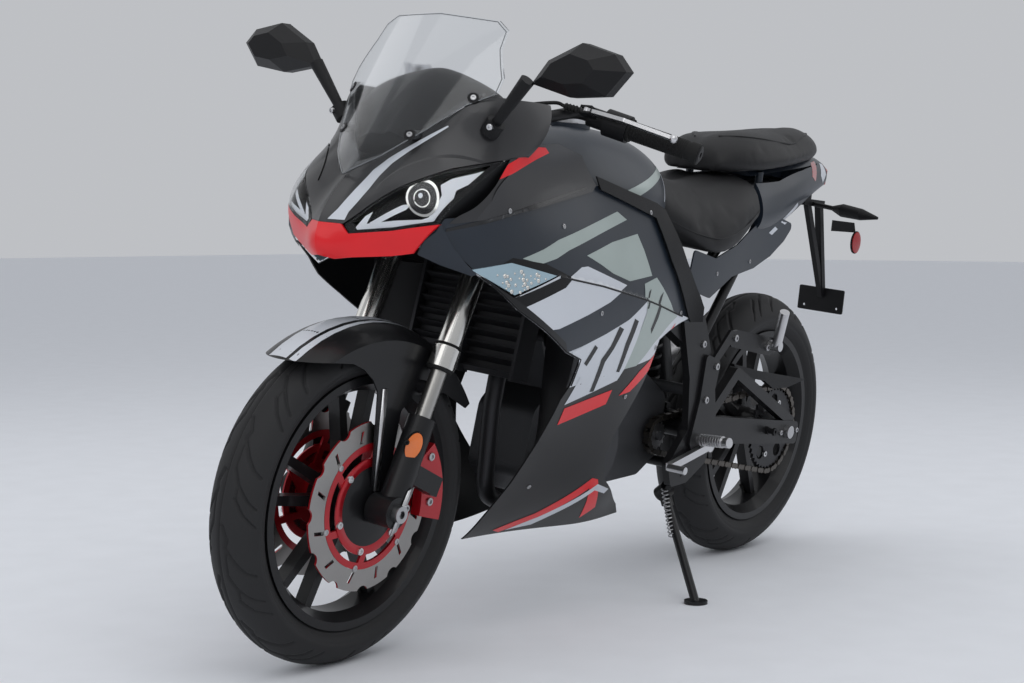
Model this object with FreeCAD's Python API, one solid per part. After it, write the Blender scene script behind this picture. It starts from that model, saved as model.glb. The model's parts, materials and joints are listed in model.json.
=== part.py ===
import FreeCAD, Part
import math
import os

V = FreeCAD.Vector
ORIGIN = V(0, 0, 0)
ACROSS = V(1, 0, 0)
ALONG = V(0, 1, 0)
UP = V(0, 0, 1)

# The bike is drawn upright: +X is its left side, -Y is forward and +Z is up.
# It is then leaned onto its side stand, in park().

# Driving sizes of the whole bike
wheelbase = 1380.0
body_reach_share = 0.7246
body_reach = wheelbase * body_reach_share
body_half_width = 250.0
body_height = 1000.0
lean_deg = 6.77
park_shift_x = -125.7
park_shift_y = -29.9
panel_wall = 3.5
fit_gap = 0.3
overrun = 5.0
trim_share = 0.45

# Wheels and tyres
front_tyre_radius = 293.0
front_tyre_half_width = 55.0
front_crown_radius = 56.0
rear_tyre_radius = 308.0
rear_tyre_half_width = 65.0
rear_crown_radius = 66.0
bead_radius = 215.9
rim_well_radius = 196.0
rim_wall = 6.0
rim_lip = 9.0
front_rim_half_width = 42.0
rear_rim_half_width = 52.0
spoke_count = 5
spoke_width = 20.0
spoke_depth = 26.0
spoke_spread = 30.0
spoke_gap = 20.0
hub_radius = 38.0
front_hub_half_length = 52.0
rear_hub_half_length = 58.0
hub_boss_radius = 50.0
hub_boss_length = 18.0
bearing_gap = 0.04
front_axle_radius = 10.0
front_axle_bore = 7.0
rear_axle_radius = 9.0

# Front brakes
disc_radius = 150.0
disc_inner_radius = 112.0
disc_thickness = 4.0
disc_offset = 60.0
disc_petals = 12
disc_petal_depth = 8.0
disc_petal_radius = 15.0
disc_slot_width = 7.0
disc_slot_length = 20.0
carrier_inner_radius = 48.0
carrier_outer_radius = 110.0
carrier_ring = 10.0
carrier_thickness = 5.0
carrier_arms = 6
carrier_arm_width = 13.0
caliper_angle_deg = 12.0
caliper_half_span_deg = 26.0
caliper_inner_radius = 108.0
caliper_outer_radius = 166.0
caliper_half_thickness = 19.0
caliper_slot = 16.0
caliper_out_shift = 9.0

# Rear brake
rear_disc_radius = 110.0
rear_disc_inner_radius = 70.0
rear_disc_offset = 70.0
rear_caliper_angle_deg = 140.0
rear_caliper_half_span_deg = 24.0
rear_caliper_inner_radius = 80.0
rear_caliper_outer_radius = 124.0
rear_caliper_half_thickness = 15.0

# Fork and steering
rake_deg = 23.5
fork_spacing = 200.0
fork_behind_axle = 8.0
fork_offset = 30.0
fork_lower_radius = 14.5
fork_upper_radius = 21.5
fork_collar_radius = 25.2
fork_collar_length = 37.0
fork_collar_height = 265.0
fork_foot_height = 172.0
fork_foot_radius = 25.0
fork_cap_length = 14.0
fork_cap_radius = 18.0
lower_clamp_z_share = 0.7561
upper_clamp_z_share = 0.9496
lower_clamp_thickness = 36.0
upper_clamp_thickness = 22.0
clamp_wall = 12.0
stem_radius = 13.0
stem_bore = 8.0
stem_tip = 17.0
head_tube_radius = 31.0
head_tube_inset = 4.0
engine_half_width = 67.0
engine_cover_depth = 42.0
engine_lug_radius = 12.0
cradle_foot_x_share = 0.46
stem_nut_radius = 17.0

# Handlebars
bar_radius = 11.0
grip_radius = 17.0
grip_length = 122.0
bar_clamp_height = 35.0
bar_root_rise = 18.0
bar_clamp_wall = 8.0
bar_end_out = 352.0
bar_end_behind = 118.0
bar_end_rise = 52.0
bar_elbow_out = 136.0
bar_elbow_behind = 44.0
bar_elbow_rise = 76.0
bar_end_radius = 19.0
bar_end_length = 16.0
switch_radius = 25.0
switch_length = 46.0
lever_out = 318.0
lever_width = 13.0
lever_height = 7.0
lever_forward = 46.0
lever_pin_radius = 3.0

# Front fender
fender_gap = 24.0
fender_wall = 3.0
fender_half_width = 70.0
fender_crown_drop = 30.0
fender_front_deg = 40.0
fender_rear_deg = 56.0
fender_corner = 12.0
fender_boss_height = 226.0
fender_boss_radius = 12.0

# Chain drive
chain_pitch = 15.875
rear_teeth = 40
front_teeth = 14
chain_line = 82.0
chain_width = 15.0
chain_band = 13.0
chain_clearance = 2.0
roller_radius = 5.1
sprocket_thickness = 6.0
sprocket_gap = 0.6
front_sprocket_y_share = 0.190
front_sprocket_z_share = 0.338
link_plate = 2.0

# Swingarm, axle and shock
arm_centre_x = 113.0
arm_thickness = 26.0
brace_thickness = 20.8
arm_height = 62.0
pivot_y_share = 0.275
pivot_z_share = 0.350
arm_end_overhang = 55.0
pivot_tube_radius = 22.0
pivot_bolt_radius = 8.0
axle_nut_radius = 15.0
axle_nut_length = 12.0
spool_thread_radius = 4.0
spool_thread_depth = 16.0
spool_radius = 9.0
spool_length = 22.0
spool_ahead = 95.0
shock_radius = 34.0
shock_body_radius = 22.0
shock_rod_radius = 8.0
shock_top_y_share = 0.235
shock_top_z_share = 0.640

# Frame
spar_width = 30.0
frame_tube_radius = 11.0
pivot_plate_thickness = 16.0
frame_half_width = 126.0

# Fairing stay
fairing_stay_height = 600.0
fairing_stay_width = 36.0
fairing_stay_tall = 20.0

# Side stand
stand_leg_radius = 9.0
stand_pivot_radius = 7.0
stand_pivot_y_share = 0.195
stand_pivot_z_share = 0.222
stand_pivot_x = 112.0
stand_foot_x = 268.0
stand_foot_y_share = 0.108
stand_foot_radius = 24.0
stand_foot_thickness = 7.0
stand_eye_radius = 17.0
stand_eye_thickness = 12.0
stand_fork_gap = 0.5
stand_lug_thickness = 7.0
stand_fold_shares = (0.25, 1.0, -0.02)

# Windscreen, tank, cap and lamps
screen_wall = 3.0
screen_pad_radius = 8.0
lens_wall = 3.0
filler_radius = 24.0
filler_depth = 45.0
filler_y_share = -0.13
cap_ring_radius = 46.0
cap_lid_radius = 38.0
cap_height = 9.0
cap_pin_radius = 2.5
projector_radius = 30.0
projector_depth = 60.0

# Tail
tail_roof = 12.0
seat_foot_height = 80.0

# Mirrors
mirror_stalk_radius = 8.5
mirror_foot_radius = 17.0
mirror_rim_depth = 22.0
mirror_dome_depth = 34.0

# Instruments
instrument_depth = 18.0

# Exhaust
header_radius = 17.0
muffler_radius = 52.0
muffler_length = 330.0
muffler_bore = 20.0

# Rider's contact parts
peg_radius = 11.0
peg_length = 82.0
lever_tip_radius = 8.0
plate_half_width = 62.0
plate_height = 60.0
plate_wall = 4.0
plate_hole_radius = 3.2
plate_hole_spacing = 90.0
carrier_arm_thickness = 16.0


def unit(vector):
    """The vector at a length of one."""
    result = V(vector)
    result.normalize()
    return result


def spot(x_share, y_share, z_share):
    """A place on the bodywork, from its shares of half width, reach and height."""
    return V(x_share * body_half_width, y_share * body_reach, z_share * body_height)


def rounded_wire(points, radius, closed=True):
    """Straight runs through the points, each corner rounded as far as its runs allow."""
    count = len(points)
    edges = []
    ends = []
    for index, corner in enumerate(points):
        if not closed and index in (0, count - 1):
            ends.append((corner, corner))
            continue
        before = points[index - 1] - corner
        after = points[(index + 1) % count] - corner
        half_turn = (math.pi - before.getAngle(after)) / 2
        if half_turn < trim_share / 100:
            ends.append((corner, corner))
            continue
        trim = min(radius * math.tan(half_turn), before.Length * trim_share,
                   after.Length * trim_share)
        true_radius = trim / math.tan(half_turn)
        bisector = unit(unit(before) + unit(after))
        middle = corner + bisector * (true_radius / math.cos(half_turn) - true_radius)
        first = corner + unit(before) * trim
        last = corner + unit(after) * trim
        edges.append((index, Part.Arc(first, middle, last).toShape()))
        ends.append((first, last))
    arcs = dict(edges)
    ordered = []
    for index in range(count):
        if index in arcs:
            ordered.append(arcs[index])
        following = (index + 1) % count
        if following == 0 and not closed:
            break
        start, stop = ends[index][1], ends[following][0]
        if (stop - start).Length > fit_gap / 100:
            ordered.append(Part.makeLine(start, stop))
    return Part.Wire(ordered)


def prism(points, depth, radius=0.0):
    """The outline through the points, extruded by the depth vector."""
    if radius:
        wire = rounded_wire(points, radius)
    else:
        wire = Part.makePolygon(points + [points[0]])
    return Part.Face(wire).extrude(depth)


def side_prism(outline_shares, x_from, x_to, radius=0.0):
    """A side-view outline in shares of reach and height, extruded across the bike."""
    points = [V(x_from, y * body_reach, z * body_height) for y, z in outline_shares]
    return prism(points, V(x_to - x_from, 0, 0), radius)


def front_prism(outline_shares, y_from, y_to, radius=0.0):
    """A front-view outline in shares of half width and height, extruded along the bike."""
    points = [V(x * body_half_width, y_from, z * body_height) for x, z in outline_shares]
    return prism(points, V(0, y_to - y_from, 0), radius)


def rod(start, stop, radius):
    """A round bar from one place to another."""
    return Part.makeCylinder(radius, (stop - start).Length, start, stop - start)


def bar_path(points, radius, bend_radius):
    """A round bar along straight runs joined by tangent arcs."""
    wire = rounded_wire(points, bend_radius, closed=False)
    start = unit(points[1] - points[0])
    profile = Part.Wire(Part.makeCircle(radius, points[0], start))
    return wire.makePipeShell([profile], True, False)


def strut(start, stop, width, height, side=ACROSS):
    """A flat bar between two places, its width along the side direction."""
    run = unit(stop - start)
    across = unit(side - run * side.dot(run))
    rise = run.cross(across)
    corners = [start + across * (width / 2 * i) + rise * (height / 2 * j)
               for i, j in ((1, 1), (-1, 1), (-1, -1), (1, -1))]
    return prism(corners, stop - start)


def mirrored(shape):
    """The same piece on the bike's right side."""
    return shape.mirror(ORIGIN, ACROSS)


def both(shape):
    """A left-hand piece with its right-hand twin, as two solids."""
    return Part.makeCompound([shape, mirrored(shape)])


def joined(shapes):
    """One solid from pieces that overlap."""
    result = shapes[0].fuse(shapes[1:]) if len(shapes) > 1 else shapes[0]
    return result.removeSplitter()


def skin(grid_shares):
    """A smooth face through a grid of places."""
    surface = Part.BSplineSurface()
    surface.interpolate([[spot(*place) for place in row] for row in grid_shares])
    return surface.toShape()


def spline_ring(points):
    """A smooth closed wire through the points."""
    curve = Part.BSplineCurve()
    curve.interpolate(Points=points, PeriodicFlag=True)
    return Part.Wire(curve.toShape())


def hull_loft(stations_shares):
    """A smooth body through cross-sections; each is its place along the bike and half
    an outline, from its top middle round to its bottom middle."""
    wires = []
    for y, half in stations_shares:
        left = [spot(x, y, z) for x, z in half]
        right = [spot(-x, y, z) for x, z in reversed(half[1:-1])]
        wires.append(spline_ring(left + right))
    return Part.makeLoft(wires, True, False)


# Axles, fork line and steering axis, all worked out from the sizes above
rake = math.radians(rake_deg)
fork_up = V(0, math.sin(rake), math.cos(rake))
fork_ahead = V(0, -math.cos(rake), math.sin(rake))
front_axle = V(0, -wheelbase / 2, front_tyre_radius)
rear_axle = V(0, wheelbase / 2, rear_tyre_radius)
fork_half = fork_spacing / 2
steer_base = front_axle - fork_ahead * (fork_behind_axle + fork_offset)
lean = math.radians(lean_deg)
park_lift = (front_crown_radius + rear_crown_radius) / 2 * (1 - math.cos(lean))
floor_up = V(-math.sin(lean), 0, math.cos(lean))
pivot = spot(0, pivot_y_share, pivot_z_share)
lower_clamp_height = (lower_clamp_z_share * body_height - front_axle.z) / math.cos(rake)
upper_clamp_height = (upper_clamp_z_share * body_height - front_axle.z) / math.cos(rake)
yoke_top = upper_clamp_height + upper_clamp_thickness / 2
fork_top_height = yoke_top + bar_clamp_height - fork_cap_length
rear_pitch_radius = chain_pitch / (2 * math.sin(math.pi / rear_teeth))
front_pitch_radius = chain_pitch / (2 * math.sin(math.pi / front_teeth))


def fork_point(height, side=1):
    """A place on the middle line of a fork leg, by its distance up from the axle."""
    return V(side * fork_half, 0, 0) + front_axle - fork_ahead * fork_behind_axle + fork_up * height


def steer_point(height, out=0.0, behind=0.0):
    """A place by its distance up the steering axis, out to the left and behind it."""
    return steer_base + fork_up * height + V(out, 0, 0) - fork_ahead * behind


def revolve_about_axle(profile, centre):
    """A ring from points given as across and radius, turned about a wheel's axle."""
    points = [V(x, centre.y, centre.z + r) for x, r in profile]
    face = Part.Face(Part.makePolygon(points + [points[0]]))
    return face.revolve(centre, ACROSS, 360)


def disc_ring(centre, x_from, x_to, inner, outer):
    """A flat ring about a wheel's axle."""
    start = V(x_from, centre.y, centre.z)
    ring = Part.makeCylinder(outer, x_to - x_from, start, ACROSS)
    if inner:
        ring = ring.cut(Part.makeCylinder(inner, x_to - x_from, start, ACROSS))
    return ring


def turned(shape, centre, degrees):
    """A copy turned about a wheel's axle."""
    result = shape.copy()
    result.rotate(centre, ACROSS, degrees)
    return result


def tyre(centre, radius, half_width, crown, rim_half):
    """A round-shouldered tyre, filled down to the rim's bead seats."""
    seat = bead_radius + fit_gap
    bead_x = rim_half - rim_wall - fit_gap
    crown_centre = radius - crown
    shoulder = half_width * 0.97
    top = V(0, centre.y, centre.z + radius)
    shoulder_r = crown_centre + math.sqrt(max(crown ** 2 - shoulder ** 2, 0.0))
    lip = seat + rim_lip + fit_gap
    wall_r = (shoulder_r + lip) / 2 + (shoulder_r - lip) * 0.05

    def at(x, r):
        return V(x, centre.y, centre.z + r)

    left = at(shoulder, shoulder_r)
    right = at(-shoulder, shoulder_r)
    tread = Part.Arc(right, top, left).toShape()
    left_wall = Part.Arc(left, at(half_width, wall_r), at(bead_x, lip)).toShape()
    corners = [at(bead_x, lip), at(bead_x, seat), at(-bead_x, seat), at(-bead_x, lip)]
    bead = [Part.makeLine(start, stop) for start, stop in zip(corners, corners[1:])]
    right_wall = Part.Arc(at(-bead_x, lip), at(-half_width, wall_r), right).toShape()
    face = Part.Face(Part.Wire([tread, left_wall] + bead + [right_wall]))
    return face.revolve(centre, ACROSS, 360)


def rim(centre, half_width, hub_half, bore):
    """A cast rim with pairs of spokes, a hub and its bearing bore."""
    well = rim_well_radius
    barrel = revolve_about_axle([
        (-half_width, bead_radius - rim_wall), (-half_width, bead_radius + rim_lip),
        (-half_width + rim_wall, bead_radius + rim_lip), (-half_width + rim_wall, bead_radius),
        (half_width - rim_wall, bead_radius), (half_width - rim_wall, bead_radius + rim_lip),
        (half_width, bead_radius + rim_lip), (half_width, bead_radius - rim_wall),
        (half_width * 0.5, well), (-half_width * 0.5, well)], centre)
    hub = disc_ring(centre, -hub_half, hub_half, 0, hub_radius)
    boss = disc_ring(centre, -spoke_depth / 2, spoke_depth / 2, 0, hub_boss_radius)
    pieces = [barrel, hub, boss]
    foot = hub_boss_radius * 0.8
    reach = well + rim_wall / 2
    for index in range(spoke_count):
        for side in (1, -1):
            root = V(0, side * spoke_gap / 2, foot)
            tip = V(0, side * (spoke_spread + spoke_width / 2), reach)
            flat = unit(tip - root).cross(ACROSS) * (spoke_width / 2)
            corners = [root + flat, tip + flat * 0.8, tip - flat * 0.8, root - flat]
            corners = [centre + c - V(spoke_depth / 2, 0, 0) for c in corners]
            spoke = prism(corners, V(spoke_depth, 0, 0))
            pieces.append(turned(spoke, centre, index * 360 / spoke_count))
    wheel = joined(pieces)
    return wheel.cut(disc_ring(centre, -hub_half - overrun, hub_half + overrun, 0, bore))


def front_tyre():
    """The front tyre."""
    return tyre(front_axle, front_tyre_radius, front_tyre_half_width, front_crown_radius,
                front_rim_half_width)


def rear_tyre():
    """The wider rear tyre."""
    return tyre(rear_axle, rear_tyre_radius, rear_tyre_half_width, rear_crown_radius,
                rear_rim_half_width)


def front_rim():
    """The front wheel's rim."""
    return rim(front_axle, front_rim_half_width, front_hub_half_length,
               front_axle_radius + bearing_gap)


def rear_rim():
    """The rear wheel's rim."""
    return rim(rear_axle, rear_rim_half_width, rear_hub_half_length,
               rear_axle_radius + bearing_gap)


def petal_disc(centre, offset, side):
    """A brake rotor with a scalloped edge and a ring of slanted slots."""
    x_mid = side * offset
    x_from = x_mid - disc_thickness / 2
    rotor = disc_ring(centre, x_from, x_from + disc_thickness, disc_inner_radius, disc_radius)
    bite_centre = disc_radius + disc_petal_radius - disc_petal_depth
    cuts = []
    for index in range(disc_petals):
        angle = index * 360 / disc_petals
        bite = Part.makeCylinder(disc_petal_radius, disc_thickness,
                                 centre + V(x_from, 0, bite_centre), ACROSS)
        cuts.append(turned(bite, centre, angle))
        middle = (disc_inner_radius + disc_radius - disc_petal_depth) / 2
        low = middle - disc_slot_length / 2
        slot = prism([centre + V(x_from, y, r) for y, r in (
            (-disc_slot_width, low), (0, low),
            (disc_slot_width, low + disc_slot_length), (0, low + disc_slot_length))],
            V(disc_thickness, 0, 0))
        cuts.append(turned(slot, centre, angle + 180 / disc_petals))
    return rotor.cut(cuts)


def disc_carrier(centre, offset, side, hub_half):
    """The open spider that bolts the rotor to the hub."""
    x_from = side * offset - carrier_thickness / 2
    outer = disc_ring(centre, x_from, x_from + carrier_thickness,
                      carrier_outer_radius - carrier_ring, disc_inner_radius - fit_gap)
    inner = disc_ring(centre, x_from, x_from + carrier_thickness, front_axle_radius * 2,
                      carrier_inner_radius + carrier_ring)
    pieces = [outer, inner]
    for index in range(carrier_arms):
        arm = strut(centre + V(side * offset, -carrier_arm_width, carrier_inner_radius),
                    centre + V(side * offset, carrier_arm_width,
                               carrier_outer_radius - carrier_ring / 2),
                    carrier_thickness, carrier_arm_width)
        pieces.append(turned(arm, centre, index * 360 / carrier_arms))
    spacer_from = min(side * hub_half, side * offset)
    spacer = disc_ring(centre, spacer_from, spacer_from + offset - hub_half,
                       front_axle_radius * 2, hub_radius)
    return joined(pieces + [spacer])


def front_discs():
    """Both front rotors."""
    return Part.makeCompound([petal_disc(front_axle, disc_offset, side) for side in (1, -1)])


def front_disc_carriers():
    """The spiders inside both front rotors."""
    return Part.makeCompound(
        [disc_carrier(front_axle, disc_offset, side, front_hub_half_length) for side in (1, -1)])


def front_axle_shaft():
    """The hollow front axle with its nut and head."""
    half = fork_half + fork_foot_radius
    shaft = disc_ring(front_axle, -half, half, 0, front_axle_radius)
    nut = disc_ring(front_axle, half, half + axle_nut_length, 0, axle_nut_radius)
    head = disc_ring(front_axle, -half - axle_nut_length, -half, 0, axle_nut_radius)
    bore = disc_ring(front_axle, -half - axle_nut_length, half + axle_nut_length, 0,
                     front_axle_bore)
    return joined([shaft, nut, head]).cut(bore)


def fork_lower(side):
    """A fork leg's lower tube with the cast foot that holds the axle."""
    tube = rod(fork_point(fork_foot_height * 0.6, side),
               fork_point(fork_collar_height + fork_collar_length, side), fork_lower_radius)
    foot = rod(fork_point(0, side), fork_point(fork_foot_height, side), fork_foot_radius)
    eye = Part.makeCylinder(fork_foot_radius * 1.1, fork_foot_radius * 2,
                            front_axle + V(side * fork_half - fork_foot_radius, 0, 0), ACROSS)
    face = disc_offset + caliper_out_shift + caliper_half_thickness
    lug_end = on_circle(front_axle, caliper_inner_radius * 1.2, math.radians(caliper_angle_deg))
    lug = strut(fork_point(fork_foot_height * 0.45, side), lug_end + V(side * fork_half, 0, 0),
                2 * (fork_half - face), fork_foot_radius * 1.4)
    bore = Part.makeCylinder(front_axle_radius + bearing_gap, fork_foot_radius * 3,
                             front_axle + V(side * fork_half - fork_foot_radius * 1.5, 0, 0),
                             ACROSS)
    return tube.fuse([foot, eye, lug]).cut(bore)


def fork_lowers():
    """Both lower legs."""
    return both(fork_lower(1))


def fork_upper(side):
    """A fork leg's polished upper tube with its seal collar and top cap."""
    low = fork_collar_height
    tube = rod(fork_point(low, side), fork_point(fork_top_height, side), fork_upper_radius)
    collar = rod(fork_point(low, side), fork_point(low + fork_collar_length, side),
                 fork_collar_radius)
    cap = rod(fork_point(fork_top_height, side),
              fork_point(fork_top_height + fork_cap_length, side), fork_cap_radius)
    bore = rod(fork_point(low, side), fork_point(low + fork_collar_length + overrun, side),
               fork_lower_radius + fit_gap)
    return joined([tube, collar, cap]).cut(bore)


def fork_uppers():
    """Both upper legs."""
    return both(fork_upper(1))


def clamp_plate(height, thickness, wall):
    """A yoke that grips both fork legs and the steering stem."""
    low = height - thickness / 2
    base = steer_point(low)
    boss_radius = fork_upper_radius + wall
    corners = [base + V(x, 0, 0) + fork_ahead * a for x, a in (
        (-fork_half, fork_offset + boss_radius * 0.8), (fork_half, fork_offset + boss_radius * 0.8),
        (fork_half, fork_offset - boss_radius * 0.8), (boss_radius * 0.8, -boss_radius * 0.8),
        (-boss_radius * 0.8, -boss_radius * 0.8), (-fork_half, fork_offset - boss_radius * 0.8))]
    pieces = [prism(corners, fork_up * thickness)]
    holes = [rod(steer_point(low - overrun), steer_point(low + thickness + overrun),
                 stem_radius + fit_gap)]
    for side in (1, -1):
        pieces.append(rod(fork_point(low, side), fork_point(low + thickness, side), boss_radius))
        holes.append(rod(fork_point(low - overrun, side), fork_point(low + thickness + overrun, side),
                         fork_upper_radius + fit_gap))
    return joined(pieces).cut(holes)


def triple_clamps():
    """The lower and upper yokes."""
    return Part.makeCompound([
        clamp_plate(lower_clamp_height, lower_clamp_thickness, clamp_wall),
        clamp_plate(upper_clamp_height, upper_clamp_thickness, clamp_wall * 0.8)])


def steering_stem():
    """The hollow stem that turns in the head tube, with its top nut."""
    low = lower_clamp_height - lower_clamp_thickness / 2
    stem = rod(steer_point(low), steer_point(yoke_top + stem_tip), stem_radius)
    nut = rod(steer_point(yoke_top), steer_point(yoke_top + fork_cap_length), stem_nut_radius)
    bore = rod(steer_point(low - overrun), steer_point(low + stem_bore * 10), stem_bore)
    return joined([stem, nut]).cut(bore)


def bar_ends(side):
    """The elbow and the end of a handlebar's tube."""
    root = fork_point(yoke_top + bar_root_rise, side)
    elbow = steer_point(yoke_top + bar_elbow_rise, side * bar_elbow_out, bar_elbow_behind)
    end = steer_point(yoke_top + bar_end_rise, side * bar_end_out, bar_end_behind)
    return root, elbow, end


def handlebar(side):
    """A clip-on bar with its clamp about the fork leg."""
    root, elbow, end = bar_ends(side)
    low = yoke_top + fit_gap
    high = fork_top_height + fork_cap_length
    clamp = rod(fork_point(low, side), fork_point(high, side), fork_upper_radius + bar_clamp_wall)
    bore = rod(fork_point(low - overrun, side), fork_point(high + overrun, side),
               fork_upper_radius + fit_gap)
    tube = bar_path([root, elbow, end], bar_radius, bar_radius * 3)
    return joined([clamp, tube]).cut(bore)


def handlebars():
    """Both clip-on bars."""
    return both(handlebar(1))


def bar_place(side, from_end):
    """A place on a handlebar's straight end, by its distance in from the tip."""
    root, elbow, end = bar_ends(side)
    return end + unit(elbow - end) * from_end


def grip(side):
    """A rubber grip with its bar-end weight."""
    sleeve = rod(bar_place(side, 0), bar_place(side, grip_length), grip_radius)
    bore = rod(bar_place(side, 0), bar_place(side, grip_length + overrun), bar_radius + fit_gap)
    weight = rod(bar_place(side, -bar_end_length), bar_place(side, 0), bar_end_radius)
    flange = rod(bar_place(side, grip_length - overrun), bar_place(side, grip_length),
                 grip_radius * 1.25)
    return joined([sleeve.fuse(flange).cut(bore), weight])


def grips():
    """Both grips."""
    return both(grip(1))


def lever_pin(side):
    """The middle of a hand lever's pivot and the place on the bar behind it."""
    on_bar = bar_place(side, grip_length + switch_length * 1.5)
    return on_bar + fork_ahead * (switch_radius + lever_width / 2), on_bar


def lever_knee(side):
    """Where a hand lever bends to run beside the grip."""
    return bar_place(side, grip_length * 0.9) + fork_ahead * lever_forward


def across_lever(place, thickness, radius):
    """A round piece square to a hand lever, centred on a place."""
    return rod(place - fork_up * (thickness / 2), place + fork_up * (thickness / 2), radius)


def hand_control(side):
    """A switch housing and a lever perch with its forked end and pin."""
    low = bar_place(side, grip_length + fit_gap)
    high = bar_place(side, grip_length + fit_gap + switch_length)
    housing = rod(low, high, switch_radius)
    bore = rod(low - (high - low), high + (high - low), bar_radius + fit_gap)
    perch = rod(high, bar_place(side, grip_length + switch_length * 1.75), switch_radius * 0.72)
    pin, on_bar = lever_pin(side)
    tall = lever_height * 2.2
    bracket = strut(on_bar, pin + fork_ahead * (lever_width / 2), switch_radius, tall)
    slot = lever_height + fit_gap * 2
    room = [across_lever(pin, slot, lever_width),
            strut(pin, lever_knee(side), slot, lever_width, fork_up)]
    fork = bracket.cut([bore] + room).fuse(across_lever(pin, tall, lever_pin_radius))
    return joined([joined([housing, perch]).cut(bore), fork])


def hand_controls():
    """The left and right controls."""
    return Part.makeCompound([hand_control(1), hand_control(-1)])


def hand_lever(side):
    """A clutch or brake lever: eye, bent blade and ball end."""
    pin = lever_pin(side)[0]
    knee = lever_knee(side)
    tip = bar_place(side, grip_length * 0.12) + fork_ahead * lever_forward * 0.9
    blade = joined([across_lever(pin, lever_height, lever_width / 2),
                    strut(pin, knee, lever_height, lever_width * 0.9, fork_up),
                    across_lever(knee, lever_height, lever_width * 0.45),
                    strut(knee, tip, lever_height, lever_width * 0.8, fork_up),
                    Part.makeSphere(lever_tip_radius, tip)])
    return blade.cut(across_lever(pin, lever_width, lever_pin_radius + fit_gap))


def hand_levers():
    """The clutch lever and the front brake lever."""
    return Part.makeCompound([hand_lever(1), hand_lever(-1)])


# The fender's side outline, in tyre radii behind and above the front axle
fender_outline_shares = (
    (-0.750, 0.882), (-0.440, 0.884), (-0.280, 0.870), (-0.185, 0.830), (-0.100, 0.765),
    (-0.050, 0.690), (-0.035, 0.130), (0.040, 0.075), (0.110, 0.140), (0.170, 0.560),
    (0.280, 0.650), (0.560, 0.640), (0.800, 0.520), (1.150, 0.420), (1.150, 1.200),
    (-0.750, 1.200))


def fender_shell():
    """The fender's thin arched wall, revolved about the axle and not yet trimmed."""
    half = fender_half_width
    inner = front_tyre_radius + fender_gap

    def arch(radius, width):
        edge = front_axle.z + radius - fender_crown_drop
        return [V(-width, front_axle.y, edge), V(0, front_axle.y, front_axle.z + radius),
                V(width, front_axle.y, edge)]

    over = arch(inner + fender_wall, half + fender_wall)
    under = arch(inner, half)
    feet = [V(x, front_axle.y, front_axle.z + front_axle_radius * 2)
            for x in (half + fender_wall, half, -half, -half - fender_wall)]
    wire = Part.Wire([
        Part.Arc(*over).toShape(), Part.makeLine(over[2], feet[0]),
        Part.makeLine(feet[0], feet[1]), Part.makeLine(feet[1], under[2]),
        Part.Arc(*under).toShape(), Part.makeLine(under[0], feet[2]),
        Part.makeLine(feet[2], feet[3]), Part.makeLine(feet[3], over[0])])
    section = turned(Part.Face(wire), front_axle, fender_front_deg)
    return section.revolve(front_axle, ACROSS, -fender_front_deg - fender_rear_deg)


def front_fender():
    """A thin mudguard hugging the tyre, with a leg down to each fork foot."""
    width = fender_half_width + fender_wall + overrun
    outline = [front_axle + V(-width, y * front_tyre_radius, z * front_tyre_radius)
               for y, z in fender_outline_shares]
    pieces = [fender_shell().common(prism(outline, V(2 * width, 0, 0), fender_corner))]
    for side in (1, -1):
        on_leg = fork_point(fender_boss_height, side)
        inboard = V(side * (fender_half_width + fender_wall / 2), on_leg.y, on_leg.z)
        leg = rod(fork_point(0, side), fork_point(fork_top_height, side), fork_lower_radius)
        pieces.append(rod(inboard, on_leg, fender_boss_radius).cut(leg))
    return joined(pieces)


def caliper(centre, x_block, half, x_disc, radii, angle_deg, half_span_deg):
    """A brake caliper straddling a rotor; its radii are inner, outer and the rotor's."""
    inner, outer, rotor = radii
    block = disc_ring(centre, x_block - half, x_block + half, inner, outer)
    apex = centre - V(body_half_width, 0, 0)
    wedge = prism([apex] + [on_circle(apex, outer * 2, math.radians(angle_deg + turn))
                            for turn in (-half_span_deg, half_span_deg)],
                  V(body_half_width * 2, 0, 0))
    slot_from = x_disc - caliper_slot / 2
    slot = disc_ring(centre, slot_from, slot_from + caliper_slot, 0, rotor + caliper_slot / 3)
    return block.common(wedge).cut(slot)


def front_calipers():
    """Both front calipers, each on its fork foot's lug."""
    radii = (caliper_inner_radius, caliper_outer_radius, disc_radius)
    return both(caliper(front_axle, disc_offset + caliper_out_shift, caliper_half_thickness,
                        disc_offset, radii, caliper_angle_deg, caliper_half_span_deg))


def rear_caliper():
    """The rear caliper, carried on a pin from the swingarm's right-hand brace."""
    radii = (rear_caliper_inner_radius, rear_caliper_outer_radius, rear_disc_radius)
    block = caliper(rear_axle, -rear_disc_offset, rear_caliper_half_thickness,
                    -rear_disc_offset, radii, rear_caliper_angle_deg,
                    rear_caliper_half_span_deg)
    apex, rear_foot = brace_line(-1)
    hub_side = on_circle(rear_axle, (rear_caliper_inner_radius + rear_caliper_outer_radius) / 2,
                         math.radians(rear_caliper_angle_deg))
    share = (hub_side.y - apex.y) / (rear_foot.y - apex.y)
    seat = apex + (rear_foot - apex) * share + V(brace_thickness / 2 + fit_gap, 0, 0)
    inboard = V(-rear_disc_offset - rear_caliper_half_thickness + overrun / 2, seat.y, seat.z)
    return joined([block, rod(seat, inboard, shock_rod_radius)])


def chain_tangents():
    """The chain's pitch line: both pitch circles and the two straight runs."""
    front = V(chain_line, front_sprocket_y_share * body_reach,
              front_sprocket_z_share * body_height)
    rear = rear_axle + V(chain_line, 0, 0)
    run = rear - front
    slope = math.atan2(run.z, run.y)
    spread = math.acos((front_pitch_radius - rear_pitch_radius) / run.Length)
    return front, rear, slope, spread


def on_circle(centre, radius, angle):
    """A place on a circle about an axis across the bike."""
    return centre + V(0, radius * math.cos(angle), radius * math.sin(angle))


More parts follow.
